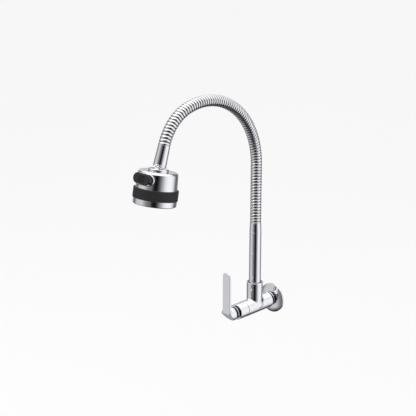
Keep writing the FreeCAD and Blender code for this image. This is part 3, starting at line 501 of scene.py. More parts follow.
def chrome_finish(name, colour, gloss):
    """Mirror plate with faint water spots, polishing lines and a slight waviness."""
    finish = Finish(name, metallic=1.0)
    smear = finish.smooth(finish.noise(26.0, detail=3.0), 0.45, 0.75)
    speck = finish.smooth(1.0 - finish.cells(7.0), 0.86, 0.95)
    spots = speck * finish.smooth(finish.noise(15.0, shift=8.0), 0.52, 0.62)
    lines = scratches(finish, 1.1, 1) * 0.5 + scratches(finish, 1.4, 0) * 0.5
    dulled = smear * 0.5 + spots * 0.5
    finish.colour(finish.mix(dulled, colour, tuple(0.95 * c for c in colour)))
    finish.roughness(gloss + dulled * 0.03 + lines * 0.02)
    finish.relief(finish.noise(6.0, detail=1.0) + lines * 0.03, 0.004)
    return finish.material


def hose_finish(name, colour, gloss):
    """Bright drawn wire, darkened in the grooves between the rings: painted shade there, with some grime."""
    finish = Finish(name, metallic=1.0)
    smear = finish.smooth(finish.noise(14.0, detail=3.0), 0.4, 0.75)
    grain = finish.noise(0.5, detail=1.0)
    depth = finish.node("ShaderNodeAttribute", {"attribute_name": "groove"}, output=2)
    # painted shade: the groove's depth darkens the wire's colour where the rings shade each other, with a
    # little grime mixed in
    groove_shade_and_grime = finish.smooth(depth + 0.3 * (grain - 0.5), 0.3, 0.8)
    bright = finish.mix(smear, colour, tuple(0.88 * c for c in colour))
    finish.colour(finish.mix(groove_shade_and_grime, bright, (0.06, 0.06, 0.065)))
    finish.roughness(gloss + smear * 0.05 + grain * 0.03 + groove_shade_and_grime * 0.2)
    finish.relief(finish.noise(3.0, detail=1.0), 0.006)
    return finish.material


def dark_neck_finish(name, colour):
    """Near-black metal with fine turning lines round it."""
    finish = Finish(name, metallic=1.0)
    turning = finish.noise(0.5, detail=1.0, stretch=(0.04, 1.0, 0.04))
    finish.colour(finish.mix(turning, colour, tuple(1.7 * c for c in colour)))
    finish.roughness(0.2 + turning * 0.16)
    finish.relief(turning, 0.01)
    return finish.material


def grip_finish(name, colour):
    """Matt moulded rubber: fine grain, a little dust and a soft sheen."""
    finish = Finish(name, specular_ior_level=0.38)
    grain = finish.noise(0.3, detail=2.0)
    dust = finish.smooth(finish.noise(9.0, detail=4.0, rough=0.65), 0.5, 0.8)
    worn = finish.mix(dust * 0.45, colour, tuple(1.9 * c + 0.004 for c in colour))
    finish.colour(worn)
    finish.roughness(0.52 + 0.16 * grain + 0.1 * dust)
    finish.relief(grain, 0.05)
    return finish.material


def soft_rubber_finish(name, colour, grain_size=0.4):
    """Smooth sealing or liner rubber with faint bloom."""
    finish = Finish(name, specular_ior_level=0.4)
    bloom = finish.smooth(finish.noise(5.0, detail=3.0), 0.45, 0.8)
    finish.colour(finish.mix(bloom, colour, tuple(1.35 * c + 0.004 for c in colour)))
    finish.roughness(0.45 + 0.2 * bloom)
    finish.relief(finish.noise(grain_size, detail=1.0), 0.02)
    return finish.material


def moulded_finish(name, colour, gloss, grain_depth):
    """Moulded plastic: fine spark-eroded grain, slight flow clouds."""
    finish = Finish(name, specular_ior_level=0.5)
    cloud = finish.noise(11.0, detail=3.0)
    finish.colour(finish.mix(cloud, tuple(0.93 * c for c in colour), tuple(1.05 * c for c in colour)))
    finish.roughness(gloss + 0.12 * cloud)
    finish.relief(finish.noise(0.35, detail=1.0), grain_depth)
    return finish.material


def metal_finish(name, colour, gloss, stretch):
    """Machined metal with fine tool lines and a light tarnish."""
    finish = Finish(name, metallic=1.0)
    tarnish = finish.smooth(finish.noise(6.0, detail=4.0), 0.4, 0.75)
    tool = finish.noise(0.45, detail=1.0, stretch=stretch)
    finish.colour(finish.mix(tarnish, colour, tuple(0.78 * c for c in colour)))
    finish.roughness(gloss + 0.14 * tarnish + 0.1 * tool)
    finish.relief(tool, 0.012)
    return finish.material


def ceramic_finish(name, colour):
    """Lapped white ceramic, nearly even."""
    finish = Finish(name, specular_ior_level=0.6)
    cloud = finish.noise(4.0, detail=3.0)
    finish.colour(finish.mix(cloud, colour, tuple(0.94 * c for c in colour)))
    finish.roughness(0.12 + 0.08 * cloud)
    finish.relief(finish.noise(1.0, detail=1.0), 0.002)
    return finish.material


FINISHES = {}


def finish_for(slot):
    """The finish of a material slot, made the first time it is asked for."""
    if slot not in FINISHES:
        looks = bpy.context.scene.tap_finish
        makers = {
            "chrome": lambda: chrome_finish("mirror_chrome", tuple(looks.chrome), looks.chrome_gloss),
            "hose_metal": lambda: hose_finish("ringed_hose_chrome", tuple(looks.hose), looks.hose_gloss),
            "dark_neck": lambda: dark_neck_finish("dark_neck_metal", tuple(looks.dark_neck)),
            "grip_rubber": lambda: grip_finish("charcoal_grip_rubber", tuple(looks.grip)),
            "seal_rubber": lambda: soft_rubber_finish("black_seal_rubber", (0.02, 0.02, 0.021)),
            "liner_rubber": lambda: soft_rubber_finish("dark_liner_rubber", (0.08, 0.08, 0.085)),
            "nozzle_rubber": lambda: soft_rubber_finish("soft_grey_nozzles", (0.2, 0.205, 0.22), 0.25),
            "switch_plastic": lambda: moulded_finish("black_switch_plastic", tuple(looks.switch), 0.22,
                                                     0.006),
            "face_plastic": lambda: moulded_finish("grey_spray_face", (0.3, 0.31, 0.33), 0.3, 0.01),
            "moulded_plastic": lambda: moulded_finish("grey_inner_plastic", (0.48, 0.49, 0.51), 0.42, 0.02),
            "slip_plastic": lambda: moulded_finish("white_slip_plastic", (0.8, 0.8, 0.78), 0.38, 0.01),
            "ceramic": lambda: ceramic_finish("white_ceramic", (0.86, 0.85, 0.82)),
            "brass": lambda: metal_finish("machined_brass", (0.76, 0.58, 0.27), 0.2, (1.0, 0.08, 1.0)),
            "spring_steel": lambda: metal_finish("bright_spring_steel", (0.62, 0.63, 0.65), 0.18,
                                                 (1.0, 1.0, 0.2)),
        }
        FINISHES[slot] = makers[slot]()
    return FINISHES[slot]


# ---- sizes and colours that a user would change ----

class TapFinishSettings(bpy.types.PropertyGroup):
    """Colours and gloss of the tap's visible finishes."""
    chrome: FloatVectorProperty(name="Chrome", description="Colour of the mirror plate",
                                subtype="COLOR", size=3, min=0, max=1, default=(0.93, 0.935, 0.95))
    chrome_gloss: FloatProperty(name="Chrome Roughness", description="Roughness of clean plate",
                                min=0, max=1, default=0.045, subtype="FACTOR")
    hose: FloatVectorProperty(name="Hose", description="Colour of the gooseneck's rings",
                              subtype="COLOR", size=3, min=0, max=1, default=(0.9, 0.905, 0.92))
    hose_gloss: FloatProperty(name="Hose Roughness", description="Roughness of the gooseneck's rings",
                              min=0, max=1, default=0.1, subtype="FACTOR")
    dark_neck: FloatVectorProperty(name="Dark Necks", description="Colour of the two dark necks",
                                   subtype="COLOR", size=3, min=0, max=1, default=(0.035, 0.036, 0.04))
    grip: FloatVectorProperty(name="Grip Band", description="Colour of the rubber band",
                              subtype="COLOR", size=3, min=0, max=1, default=(0.016, 0.016, 0.0175))
    switch: FloatVectorProperty(name="Mode Switch", description="Colour of the mode switch",
                                subtype="COLOR", size=3, min=0, max=1, default=(0.008, 0.008, 0.009))


class TapEdgeSettings(bpy.types.PropertyGroup):
    """Fillets of the tap's metal pieces, in millimetres."""
    rim: FloatProperty(name="Rim Fillet", description="Fillet of turned rims, in millimetres",
                       min=0.1, max=2, default=0.5)
    seam: FloatProperty(name="Seam Fillet", description="Fillet where two pieces meet, in millimetres",
                        min=0.05, max=1, default=0.22)
    branch: FloatProperty(name="Branch Blend",
                          description="Blend between the body's barrel and its socket, in millimetres",
                          min=0.5, max=6, default=2.6)


class GooseneckSettings(bpy.types.PropertyGroup):
    """The gooseneck's rings, in millimetres."""
    pitch: FloatProperty(name="Ring Pitch", description="Distance between rings, in millimetres",
                         min=2, max=12, default=4.6)
    groove: FloatProperty(name="Groove Depth",
                          description="Depth of the groove between rings, in millimetres",
                          min=0.1, max=2, default=1.25)
    around: IntProperty(name="Sides", description="Points round the gooseneck",
                        min=16, max=128, default=64)
    per_ring: IntProperty(name="Rows Per Ring", description="Rows of points along one ring",
                          min=6, max=24, default=12)


class StudioSettings(bpy.types.PropertyGroup):
    """Camera and light."""
    azimuth: FloatProperty(name="Azimuth",
                           description="Camera's turn to the right of straight ahead, in degrees",
                           default=43.74)
    elevation: FloatProperty(name="Elevation", description="Camera's height angle, in degrees", default=16.83)
    distance: FloatProperty(name="Distance", description="From the camera to the tap's middle",
                            subtype="DISTANCE", unit="LENGTH", default=1.773)
    lens: FloatProperty(name="Lens", description="Focal length on a 36 mm sensor, in millimetres",
                        default=95.2)
    aim: FloatVectorProperty(name="Aim", description="Point that the camera looks at",
                             subtype="TRANSLATION", unit="LENGTH", size=3,
                             default=(-0.0852, -0.0642, 0.1489))
    surround: FloatProperty(name="Surround", description="Strength of the studio's soft light",
                            min=0, max=4, default=1.0)


SETTINGS = (("tap_finish", TapFinishSettings), ("tap_edges", TapEdgeSettings),
            ("tap_gooseneck", GooseneckSettings), ("tap_studio", StudioSettings))


# ---- inlet and valve ----

class TAP_OT_inlet(bpy.types.Operator):
    """Make the wall flange, the threaded inlet nipple and its lock ring"""
    bl_idname = "tap.make_inlet"
    bl_label = "Inlet and Wall Flange"

    def execute(self, context):
        edges = context.scene.tap_edges
        self.flange(edges)
        self.nipple()
        self.lock_ring()
        return {"FINISHED"}

    def flange(self, edges):
        radius = INLET.girth("wall_flange")
        low, high = INLET.reach("wall_flange")
        points = INLET.local(node_points("wall_flange"))
        bore = np.hypot(points[:, 0], points[:, 1]).min()
        rim = 1.5
        foot = 2.5
        wall = 1.5
        shoulder = bore + wall + 1.0
        bulge = high - 0.28 * (high - rim)
        lift = 1.2
        dome = arc_through((radius, rim + lift), (0.5 * (radius + shoulder), bulge + 0.1), (shoulder, high))
        under = arc_through((shoulder, high - wall), (0.5 * (radius + shoulder), bulge - wall),
                            (radius - foot, 0.3))
        outline = [(radius - foot, low), (radius, low, edges.seam), *dome[:-1],
                   (shoulder, high, 1.0), (bore, high, edges.seam), (bore, high - wall, edges.seam)]
        make_piece("wall_flange_dome", turned(INLET, rounded(outline + under)), "base", "chrome",
                   ["wall_flange"])

    def nipple(self):
        low, high = INLET.reach("inlet_nipple")
        points = INLET.local(node_points("inlet_nipple"))
        radii = np.hypot(points[:, 0], points[:, 1])
        crest = radii.max()
        bore = radii.min()
        shank = radii[points[:, 2] > 0.5 * high].max()
        pitch = 1.814
        depth = 1.0
        rows = np.arange(low, -1.0, pitch / 8)
        turns = np.linspace(0, 2 * math.pi, 64, endpoint=False)
        grid_row, grid_turn = np.meshgrid(rows, turns, indexing="ij")
        phase = (grid_row / pitch + grid_turn / (2 * math.pi)) % 1.0
        ease = np.clip(np.minimum(grid_row - low, -1.0 - grid_row) / pitch, 0, 1)
        radius = crest - depth * (1 - ease) * 0.9 - depth * ease * np.abs(2 * phase - 1)
        rings = [(row, radius[index]) for index, row in enumerate(rows)]
        flat = np.ones(len(turns))
        for height, size in ((-0.6, shank), (high, shank), (high, bore), (low, bore)):
            rings.append((height, size * flat))
        vertices = np.concatenate([np.stack([r * np.cos(turns), r * np.sin(turns), z * flat], 1)
                                   for z, r in rings])
        faces = ring_faces(len(rings), len(turns))
        make_piece("inlet_nipple_threaded", (INLET.world(vertices), faces), "base", "brass",
                   ["inlet_nipple"], finish="dark_neck")

    def lock_ring(self):
        low, high = INLET.reach("inlet_lock_ring")
        points = INLET.local(node_points("inlet_lock_ring"))
        radii = np.hypot(points[:, 0], points[:, 1])
        outline = [(radii.max(), low, 0.3), (radii.max(), high, 0.3), (radii.min(), high), (radii.min(), low)]
        make_piece("inlet_lock_ring_polished", turned(INLET, rounded(outline)), "base", "chrome",
                   ["inlet_lock_ring"])


class TAP_OT_valve_body(bpy.types.Operator):
    """Make the cast body: a barrel with the riser's socket growing out of it"""
    bl_idname = "tap.make_valve_body"
    bl_label = "Valve Body"

    def execute(self, context):
        edges = context.scene.tap_edges
        low, high = INLET.reach("valve_body")
        riser_y = RISER.point[1]
        points = node_points("valve_body")
        barrel_r = points[np.abs(points[:, 2]) < 8.0][:, 0].max()
        socket_top = points[:, 2].max()
        socket_r = points[points[:, 2] > 0.8 * socket_top][:, 0].max()
        ring_r = RISER.girth("riser_slip_ring") + FIT
        ring_low = RISER.reach("riser_slip_ring")[0]
        riser_r = RISER.girth("riser_tube") + FIT
        foot_gap = 0.4
        floor = RISER.reach("riser_foot")[0] - foot_gap
        washer_front = INLET.reach("inlet_washer")[1]
        seat = INLET.reach("seat_seal")[0]
        seal_r = INLET.girth("seat_seal")
        shank_r = INLET.girth("inlet_washer") + FIT
        chamber_r = seal_r + 1.0
        lap = 1.0
        bore_r = 7.5
        port_r = 6.0

        def body(x, y, z):
            out = -y
            radial = np.hypot(x, z)
            barrel = slab(radial - barrel_r, out, low, high, edges.rim)
            upright = np.hypot(x, y - riser_y)
            socket = slab(upright - socket_r, z, 0.0, socket_top, edges.rim)
            solid = soft_join(barrel, socket, edges.branch)
            inlet = slab(radial - shank_r, out, low - PAST, washer_front, 0.0)
            way = slab(radial - bore_r, out, low, seat + lap, 0.0)
            chamber = slab(radial - chamber_r, out, seat, high + PAST, 0.0)
            port = slab(upright - port_r, z, 0.0, floor + lap, 0.0)
            well = slab(upright - riser_r, z, floor, socket_top + PAST, 0.0)
            step = slab(upright - ring_r, z, ring_low, socket_top + PAST, 0.0)
            hollow = np.minimum(np.minimum(np.minimum(inlet, way), np.minimum(chamber, port)),
                                np.minimum(well, step))
            return soft_cut(solid, hollow, 0.25)

        corner = (-socket_r, -high, -barrel_r)
        top = (socket_r, -low, socket_top)
        make_piece("valve_body_cast", sculpted(body, corner, top, 0.5), "base", "chrome", ["valve_body"])
        return {"FINISHED"}


class TAP_OT_bonnet(bpy.types.Operator):
    """Make the bonnet sleeve and the thin ring on the dark neck in front of it"""
    bl_idname = "tap.make_bonnet"
    bl_label = "Bonnet and Neck Ring"

    def execute(self, context):
        edges = context.scene.tap_edges
        low, high = INLET.reach("bonnet_sleeve")
        radius = INLET.girth("bonnet_sleeve")
        neck = INLET.local(node_points("cartridge_housing"))
        front = neck[neck[:, 2] > high - 1.0]
        neck_r = np.hypot(front[:, 0], front[:, 1]).max()
        bore = neck_r + 1.6
        hole = neck_r + FIT
        wall = 1.6
        outline = [(radius, low, edges.seam), (radius, high, edges.rim + 0.1), (hole, high, edges.seam),
                   (hole, high - wall), (bore, high - wall), (bore, low, edges.seam)]
        make_piece("bonnet_sleeve_polished", turned(INLET, rounded(outline)), "base", "chrome",
                   ["bonnet_sleeve"])
        low, high = INLET.reach("neck_ring")
        radius = INLET.girth("neck_ring")
        outline = [(radius, low, 0.35), (radius, high, 0.35), (hole, high), (hole, low)]
        make_piece("neck_ring_polished", turned(INLET, rounded(outline)), "base", "chrome", ["neck_ring"])
        return {"FINISHED"}


class TAP_OT_lever(bpy.types.Operator):
    """Make the lever: a round hub and a flat upright blade with a slanted heel"""
    bl_idname = "tap.make_lever"
    bl_label = "Lever"

    def execute(self, context):
        points = node_points("lever_handle")
        front, hub_rear = points[:, 1].min(), points[:, 1].max()
        top = points[:, 2].max()
        hub_r = points[points[:, 1] > hub_rear - 5][:, 0].max()
        blade_t = 3.5
        blade_rear = front + blade_t
        half_w = points[(points[:, 1] < front + 2) & (points[:, 2] < 20)][:, 0].max()
        high_points = points[points[:, 2] > top - 6]
        half_top = high_points[:, 0].max()
        corner = 6.0
        edge = 0.7
        heel_top = 2.6
        heel_run = 12.0
        spindle_r = 4.05
        spindle_deep = 6.5
        hub_setback = 0.4
        screw = node_points("lever_grub_screw")
        grub_r = screw[:, 0].max() + FIT
        grub_y = 0.5 * (screw[:, 1].min() + screw[:, 1].max())
        slope = unit([heel_top + hub_r, heel_run])
        foot_extra = 0.6
        taper = 1.4

        def lever(x, y, z):
            radial = np.hypot(x, z)
            hub = slab(radial - hub_r, y, front + hub_setback, hub_rear, 0.6)
            middle = 0.5 * (top - hub_r)
            share = np.clip((z + hub_r) / (top + hub_r), 0, 1)
            half = half_w + (half_top - half_w) * share
            flat = box_outline(x - np.sign(x) * (half - half_w), z - middle, half_w, top - middle, corner)
            blade = slab(flat, y, front, blade_rear + foot_extra - taper * share, edge)
            solid = soft_join(hub, blade, 1.6)
            heel = (front - y) * slope[0] + (heel_top - z) * slope[1]
            solid = soft_cut(solid, -heel, 0.6)
            bore = slab(radial - spindle_r, y, hub_rear - spindle_deep, hub_rear + PAST, 0.0)
            hole = np.hypot(x, y - grub_y) - grub_r
            hole = np.maximum(hole, z)
            return soft_cut(solid, np.minimum(bore, hole), 0.25)

        make_piece("lever_cast", sculpted(lever, points.min(0), points.max(0), 0.42), "handle", "chrome",
                   ["lever_handle"])
        return {"FINISHED"}


class TAP_OT_riser(bpy.types.Operator):
    """Make the riser tube and the ferrule that takes the gooseneck's foot"""
    bl_idname = "tap.make_riser"
    bl_label = "Riser and Ferrule"

    def execute(self, context):
        edges = context.scene.tap_edges
        low, high = RISER.reach("riser_tube")
        radius = RISER.girth("riser_tube")
        bore = radius - 1.5
        outline = [(radius, low), (radius, high, edges.seam), (bore, high), (bore, low)]
        make_piece("riser_tube_polished", turned(RISER, rounded(outline)), "spout", "chrome", ["riser_tube"])
        foot, top = RISER.reach("lower_ferrule")
        hose_r = HOSE.radius
        spigot = bore - FIT
        outline = [(4.6, foot), (spigot, foot), (spigot, high), (radius, high, edges.seam),
                   (radius, high + 1.5, 2.0), (hose_r, top - 2.0, 2.0), (hose_r, top, edges.seam), (4.6, top)]
        make_piece("lower_ferrule_polished", turned(RISER, rounded(outline)), "spout", "chrome",
                   ["lower_ferrule"])
        return {"FINISHED"}


# ---- gooseneck ----

class Gooseneck:
    """The gooseneck's middle line: a straight rise, a wide bend and a tighter one."""

    def __init__(self):
        self.hinges = [joint_point("gooseneck_bend_%d" % number) for number in range(1, 7)]
        first, second, last_back, last = (self.hinges[i] for i in (0, 1, 4, 5))
        self.radius = RISER.girth("hose_segment_1")
        base = RISER.reach("hose_segment_1")[0]
        rise = first[2] - base
        across = first[1] - second[1]
        up = second[2] - first[2]
        wide = (across ** 2 + up ** 2) / (2 * across)
        turn = math.acos(1 - (first[1] - last_back[1]) / wide)
        if last_back[1] < first[1] - wide:
            turn = math.pi - math.asin((last_back[2] - first[2]) / wide)
        chord = last - last_back
        heading = self.heading(turn)
        outward = np.array([0, math.cos(turn), math.sin(turn)])
        tight = (chord @ chord) / (-2 * (chord @ outward))
        down = -NECK.frame[2]
        sweep = math.acos(np.clip(heading @ down, -1, 1))
        self.runs = [(0.0, None, np.array([0, first[1], base]), 0.0),
                     (rise, wide, first, 0.0),
                     (rise + wide * turn, tight, last_back, turn)]
        self.length = rise + wide * turn + tight * sweep
        self.hinge_stations = [rise + wide * turn * k / 4 for k in range(5)]
        self.hinge_stations.append(rise + wide * turn + 0.5 * tight * sweep)

    @staticmethod
    def heading(turn):
        return np.array([0, -math.sin(turn), math.cos(turn)])

    @staticmethod
    def spokes(turn, turns):
        """Unit vectors out from the middle line, round it."""
        outward = np.array([0, math.cos(turn), math.sin(turn)])
        across = np.array([1.0, 0.0, 0.0])
        return np.cos(turns)[:, None] * outward + np.sin(turns)[:, None] * across

    def at(self, station):
        """Point, turn of the heading, at a distance along the middle line."""
        for start, radius, origin, turn in reversed(self.runs):
            if station >= start - 1e-9:
                break
        along = station - start
        if radius is None:
            return origin + np.array([0, 0, along]), 0.0
        now = turn + along / radius
        y = origin[1] + radius * (math.cos(now) - math.cos(turn))
        z = origin[2] + radius * (math.sin(now) - math.sin(turn))
        return np.array([0, y, z]), now

    def piece(self, start, end, look):
        """Closed ringed tube between two stations of the middle line."""
        rows = max(4, round((end - start) / look.pitch * look.per_ring))
        turns = np.linspace(0, 2 * math.pi, look.around, endpoint=False)
        inner = 6.3
        rings, slants, grooves = [], [], []
        for station in np.linspace(start, end, rows + 1):
            centre, turn = self.at(station)
            spoke = self.spokes(turn, turns)
            radius, slope = self.ring(station, turns, look)
            grooves.append((self.radius - radius) / look.groove)
            rings.append(centre + radius[:, None] * spoke)
            normal = spoke - slope[:, None] * self.heading(turn)
            slants.append(normal / np.linalg.norm(normal, axis=1)[:, None])
        inside_rows = max(2, round((end - start) / 6.0))
        for station in np.linspace(end, start, inside_rows + 1):
            centre, turn = self.at(station)
            spoke = self.spokes(turn, turns)
            rings.append(centre + inner * spoke)
            grooves.append(np.zeros(len(turns)))
            slants.append(-spoke)
        faces = ring_faces(len(rings), look.around)
        return (np.concatenate(rings), faces, np.concatenate(slants)), np.concatenate(grooves)

    def ring(self, station, turns, look):
        """Radius of the wound wire and its slope along the line, round one station."""
        phase = (station / look.pitch + turns / (2 * math.pi)) % 1.0
        side = 2 * phase - 1
        fullness = 0.96
        dip = 1 - np.sqrt(1 - (fullness * side) ** 2)
        deepest = 1 - math.sqrt(1 - fullness ** 2)
        radius = self.radius - look.groove * dip / deepest
        rise = fullness ** 2 * side / np.sqrt(1 - (fullness * side) ** 2)
        slope = -look.groove / deepest * rise * 2 / look.pitch
        return radius, slope


HOSE = Gooseneck()


class TAP_OT_gooseneck(bpy.types.Operator):
    """Make the ringed gooseneck: one piece across each bend, and one at each end"""
    bl_idname = "tap.make_gooseneck"
    bl_label = "Gooseneck"

    def execute(self, context):
        look = context.scene.tap_gooseneck
        stops = HOSE.hinge_stations
        middles = [0.5 * (a + b) for a, b in zip(stops, stops[1:])]
        cuts = [0.0, 0.5 * stops[0], *middles, 0.5 * (stops[-1] + HOSE.length), HOSE.length]
        bodies = ["spout"] + ["gooseneck_%d" % number for number in range(2, 8)]
        reach = 14.0
        for index, (start, end) in enumerate(zip(cuts, cuts[1:])):
            inner_piece = 0 < index < len(cuts) - 2
            stands_for = ["hose_segment_%d" % (index + 1)] if index < 7 else []
            body = None if inner_piece else bodies[0 if index == 0 else -1]
            shape, groove = HOSE.piece(start, end, look)
            piece = make_piece("gooseneck_rings_%d" % index, shape, body, "hose_metal", stands_for,
                               groove=groove)
            if inner_piece:
                hinge, turn = HOSE.at(stops[index - 1])
                way = HOSE.heading(turn)
                bodies[index - 1]
                tuple((hinge - reach * way) * MM)
                tuple((hinge + reach * way) * MM)
                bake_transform(piece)
        return {"FINISHED"}


class TAP_OT_upper_neck(bpy.types.Operator):
    """Make the tapered neck between the gooseneck and the ball joint"""
    bl_idname = "tap.make_upper_neck"
    bl_label = "Upper Neck"

    def execute(self, context):
        edges = context.scene.tap_edges
        low, high = NECK.reach("upper_neck")
        foot_r = NECK.girth("upper_neck")
        points = NECK.local(node_points("upper_neck"))
        radii = np.hypot(points[:, 0], points[:, 1])
        top_r = radii[points[:, 2] > high - 0.1].max()
        lower_r = foot_r - 0.3
        bore = radii[points[:, 2] < low + 0.1].min()
        top_bore = radii[points[:, 2] > high - 0.1].min()
        collar_high = NECK.reach("ball_nipple")[1]
        chamber_low = collar_high - 2.0 - 0.05
        chamber_high = chamber_low + 14.0
        chamber_r = 7.0
        outline = [(bore, low, edges.seam), (foot_r - 1.5, low, 0.6), (foot_r, low + 1.5, 0.7),
                   (foot_r, low + 3.0, 0.3), (lower_r - 0.45, low + 3.05, 0.15),
                   (lower_r - 0.45, low + 3.6, 0.15), (lower_r, low + 3.7, 0.2), (top_r, high, edges.seam),
                   (top_bore, high), (top_bore, chamber_high), (chamber_r, chamber_high),
                   (chamber_r, chamber_low), (bore, chamber_low)]
        make_piece("upper_neck_polished", turned(NECK, rounded(outline)), "gooseneck_7", "chrome",
                   ["upper_neck"])
        return {"FINISHED"}


# ---- spray head ----

class TAP_OT_spray_head(bpy.types.Operator):
    """Make the spray head's nut, shell, grip band, bottom ring and the nozzle mat behind its face"""
    bl_idname = "tap.make_spray_head"
    bl_label = "Spray Head"

    def execute(self, context):
        edges = context.scene.tap_edges
        self.nut()
        self.shell()
        self.band()
        self.bottom_ring(edges)
        self.nozzles()
        return {"FINISHED"}

    def nut(self):
        radius = HEAD.girth("socket_nut")
        low, top = HEAD.reach("socket_nut")
        under = HEAD.reach("head_shell")[1]
        ball = 8.05
        lip = 7.2
        lip_height = math.sqrt(ball ** 2 - lip ** 2)
        thread = 12.0
        turns = np.linspace(0, math.asin(lip_height / ball), 9)
        cup = [(ball * math.cos(t), ball * math.sin(t)) for t in turns]
        outline = [(radius - 2.2, top, 0.4), (radius, top, 0.9), (radius, under, 0.15), (thread, under),
                   (thread, low), (ball, low), *cup]
        make_piece("socket_nut_polished", turned(HEAD, rounded(outline)), "head", "chrome", ["socket_nut"])

    def shell(self):
        low, top = HEAD.reach("head_shell")
        band_high = HEAD.reach("grip_band")[1]
        points = HEAD.local(node_points("head_shell"))
        radii = np.hypot(points[:, 0], points[:, 1])
        skirt_r = radii.max()
        top_r = radii[points[:, 2] > top - 4.3].max()
        carrier = np.hypot(*HEAD.local(node_points("grip_band"))[:, :2].T).min()
        wall = 2.2
        corner = 4.2
        hole = 12.05
        bezel = HEAD.local(node_points("switch_bezel"))
        width = np.ptp(bezel[:, 0]) + 0.1
        height = np.ptp(bezel[:, 2]) + 0.1
        middle = 0.5 * (bezel[:, 2].min() + bezel[:, 2].max())
        back = bezel[:, 1].max()

        def shell(x, y, z):
            radial = np.hypot(x, y)
            side = top - corner
            share = np.clip((side - z) / (side - band_high), 0, 1)
            outer = top_r + (skirt_r - top_r) * share
            cup = slab(radial - outer, z, band_high - 8.0, top, corner)
            cup = np.maximum(cup, band_high - 0.5 - z)
            inner = slab(radial - (outer - wall), z, band_high - 20.0, top - wall, corner - wall)
            ring = slab(radial - carrier, z, low, band_high + 1.0, 0.0)
            solid = np.minimum(cup, ring)
            hollow = np.minimum(np.maximum(inner, band_high + wall - z),
                                slab(radial - (carrier - wall), z, low - 5.0, band_high + wall, 0.0))
            hollow = np.minimum(hollow, slab(radial - hole, z, top - wall - 1.0, top + 5.0, 0.0))
            opening = slab(pill(x, z - middle, width, height), y, -60.0, back + 1.0, 0.0)
            return soft_cut(soft_cut(solid, hollow, 0.2), opening, 0.6)

        corner_low = (-skirt_r, -skirt_r, low)
        corner_high = (skirt_r, skirt_r, top)
        make_piece("head_shell_polished", placed(HEAD, sculpted(shell, corner_low, corner_high, 0.5)), "head",
                   "chrome", ["head_shell"])

    def band(self):
        low, high = HEAD.reach("grip_band")
        radius = HEAD.girth("grip_band")
        inner = np.hypot(*HEAD.local(node_points("grip_band"))[:, :2].T).min()
        outline = [(radius, low, 1.0), (radius, high, 1.0), (inner, high, 0.2), (inner, low, 0.2)]
        make_piece("grip_band_rubber", turned(HEAD, rounded(outline), 128), "head", "grip_rubber",
                   ["grip_band"])

    def bottom_ring(self, edges):
        low, high = HEAD.reach("bottom_ring")
        radius = HEAD.girth("bottom_ring")
        plate_top = HEAD.reach("spray_plate")[1]
        inner = HEAD.girth("spray_plate") + FIT
        outline = [(radius, high, edges.seam), (inner, high), (inner, plate_top + 1.5),
                   (inner - 2.0, plate_top + 1.5), (inner - 2.0, plate_top), (inner, plate_top),
                   (inner, low, 0.5), (radius, low, 3.0)]
        make_piece("bottom_ring_polished", turned(HEAD, rounded(outline), 128), "head", "chrome",
                   ["bottom_ring"])

    def nozzles(self):
        """Soft mat behind the face, with a round-tipped nozzle in every hole."""
        low, high = HEAD.reach("nozzle_mat")
        plate_top = HEAD.reach("spray_plate")[1]
        outer = HEAD.girth("nozzle_mat")
        radii = np.hypot(*HEAD.local(node_points("nozzle_mat"))[:, :2].T)
        mat_bore = radii.min()
        tip_r = 0.9
        spacing = 5.2
        vertices, faces = turned(ROW, rounded([(outer, high, 0.2), (mat_bore, high), (mat_bore, plate_top),
                                               (outer, plate_top)]), 64)
        sheets = [np.asarray(vertices)]
        jet = rounded([(0.0, plate_top + 0.4), (0.0, low + 0.5), (0.35, low + 0.5, 0.1), (0.4, low, 0.12),
                       (tip_r, low, 0.35), (tip_r, plate_top + 0.4)], 0.5)
        for ring in (13.5, 17.8, 22.1):
            count = int(2 * math.pi * ring / spacing)
            for number in range(count):
                turn = 2 * math.pi * number / count
                points, jet_faces = turned(ROW, jet, 14)
                start = sum(len(sheet) for sheet in sheets)
                sheets.append(points + np.array([ring * math.cos(turn), ring * math.sin(turn), 0.0]))
                faces.extend(tuple(start + corner for corner in face) for face in jet_faces)
        make_piece("nozzle_mat_soft", (HEAD.world(np.concatenate(sheets)), faces), "head", "nozzle_rubber",
                   ["nozzle_mat"])


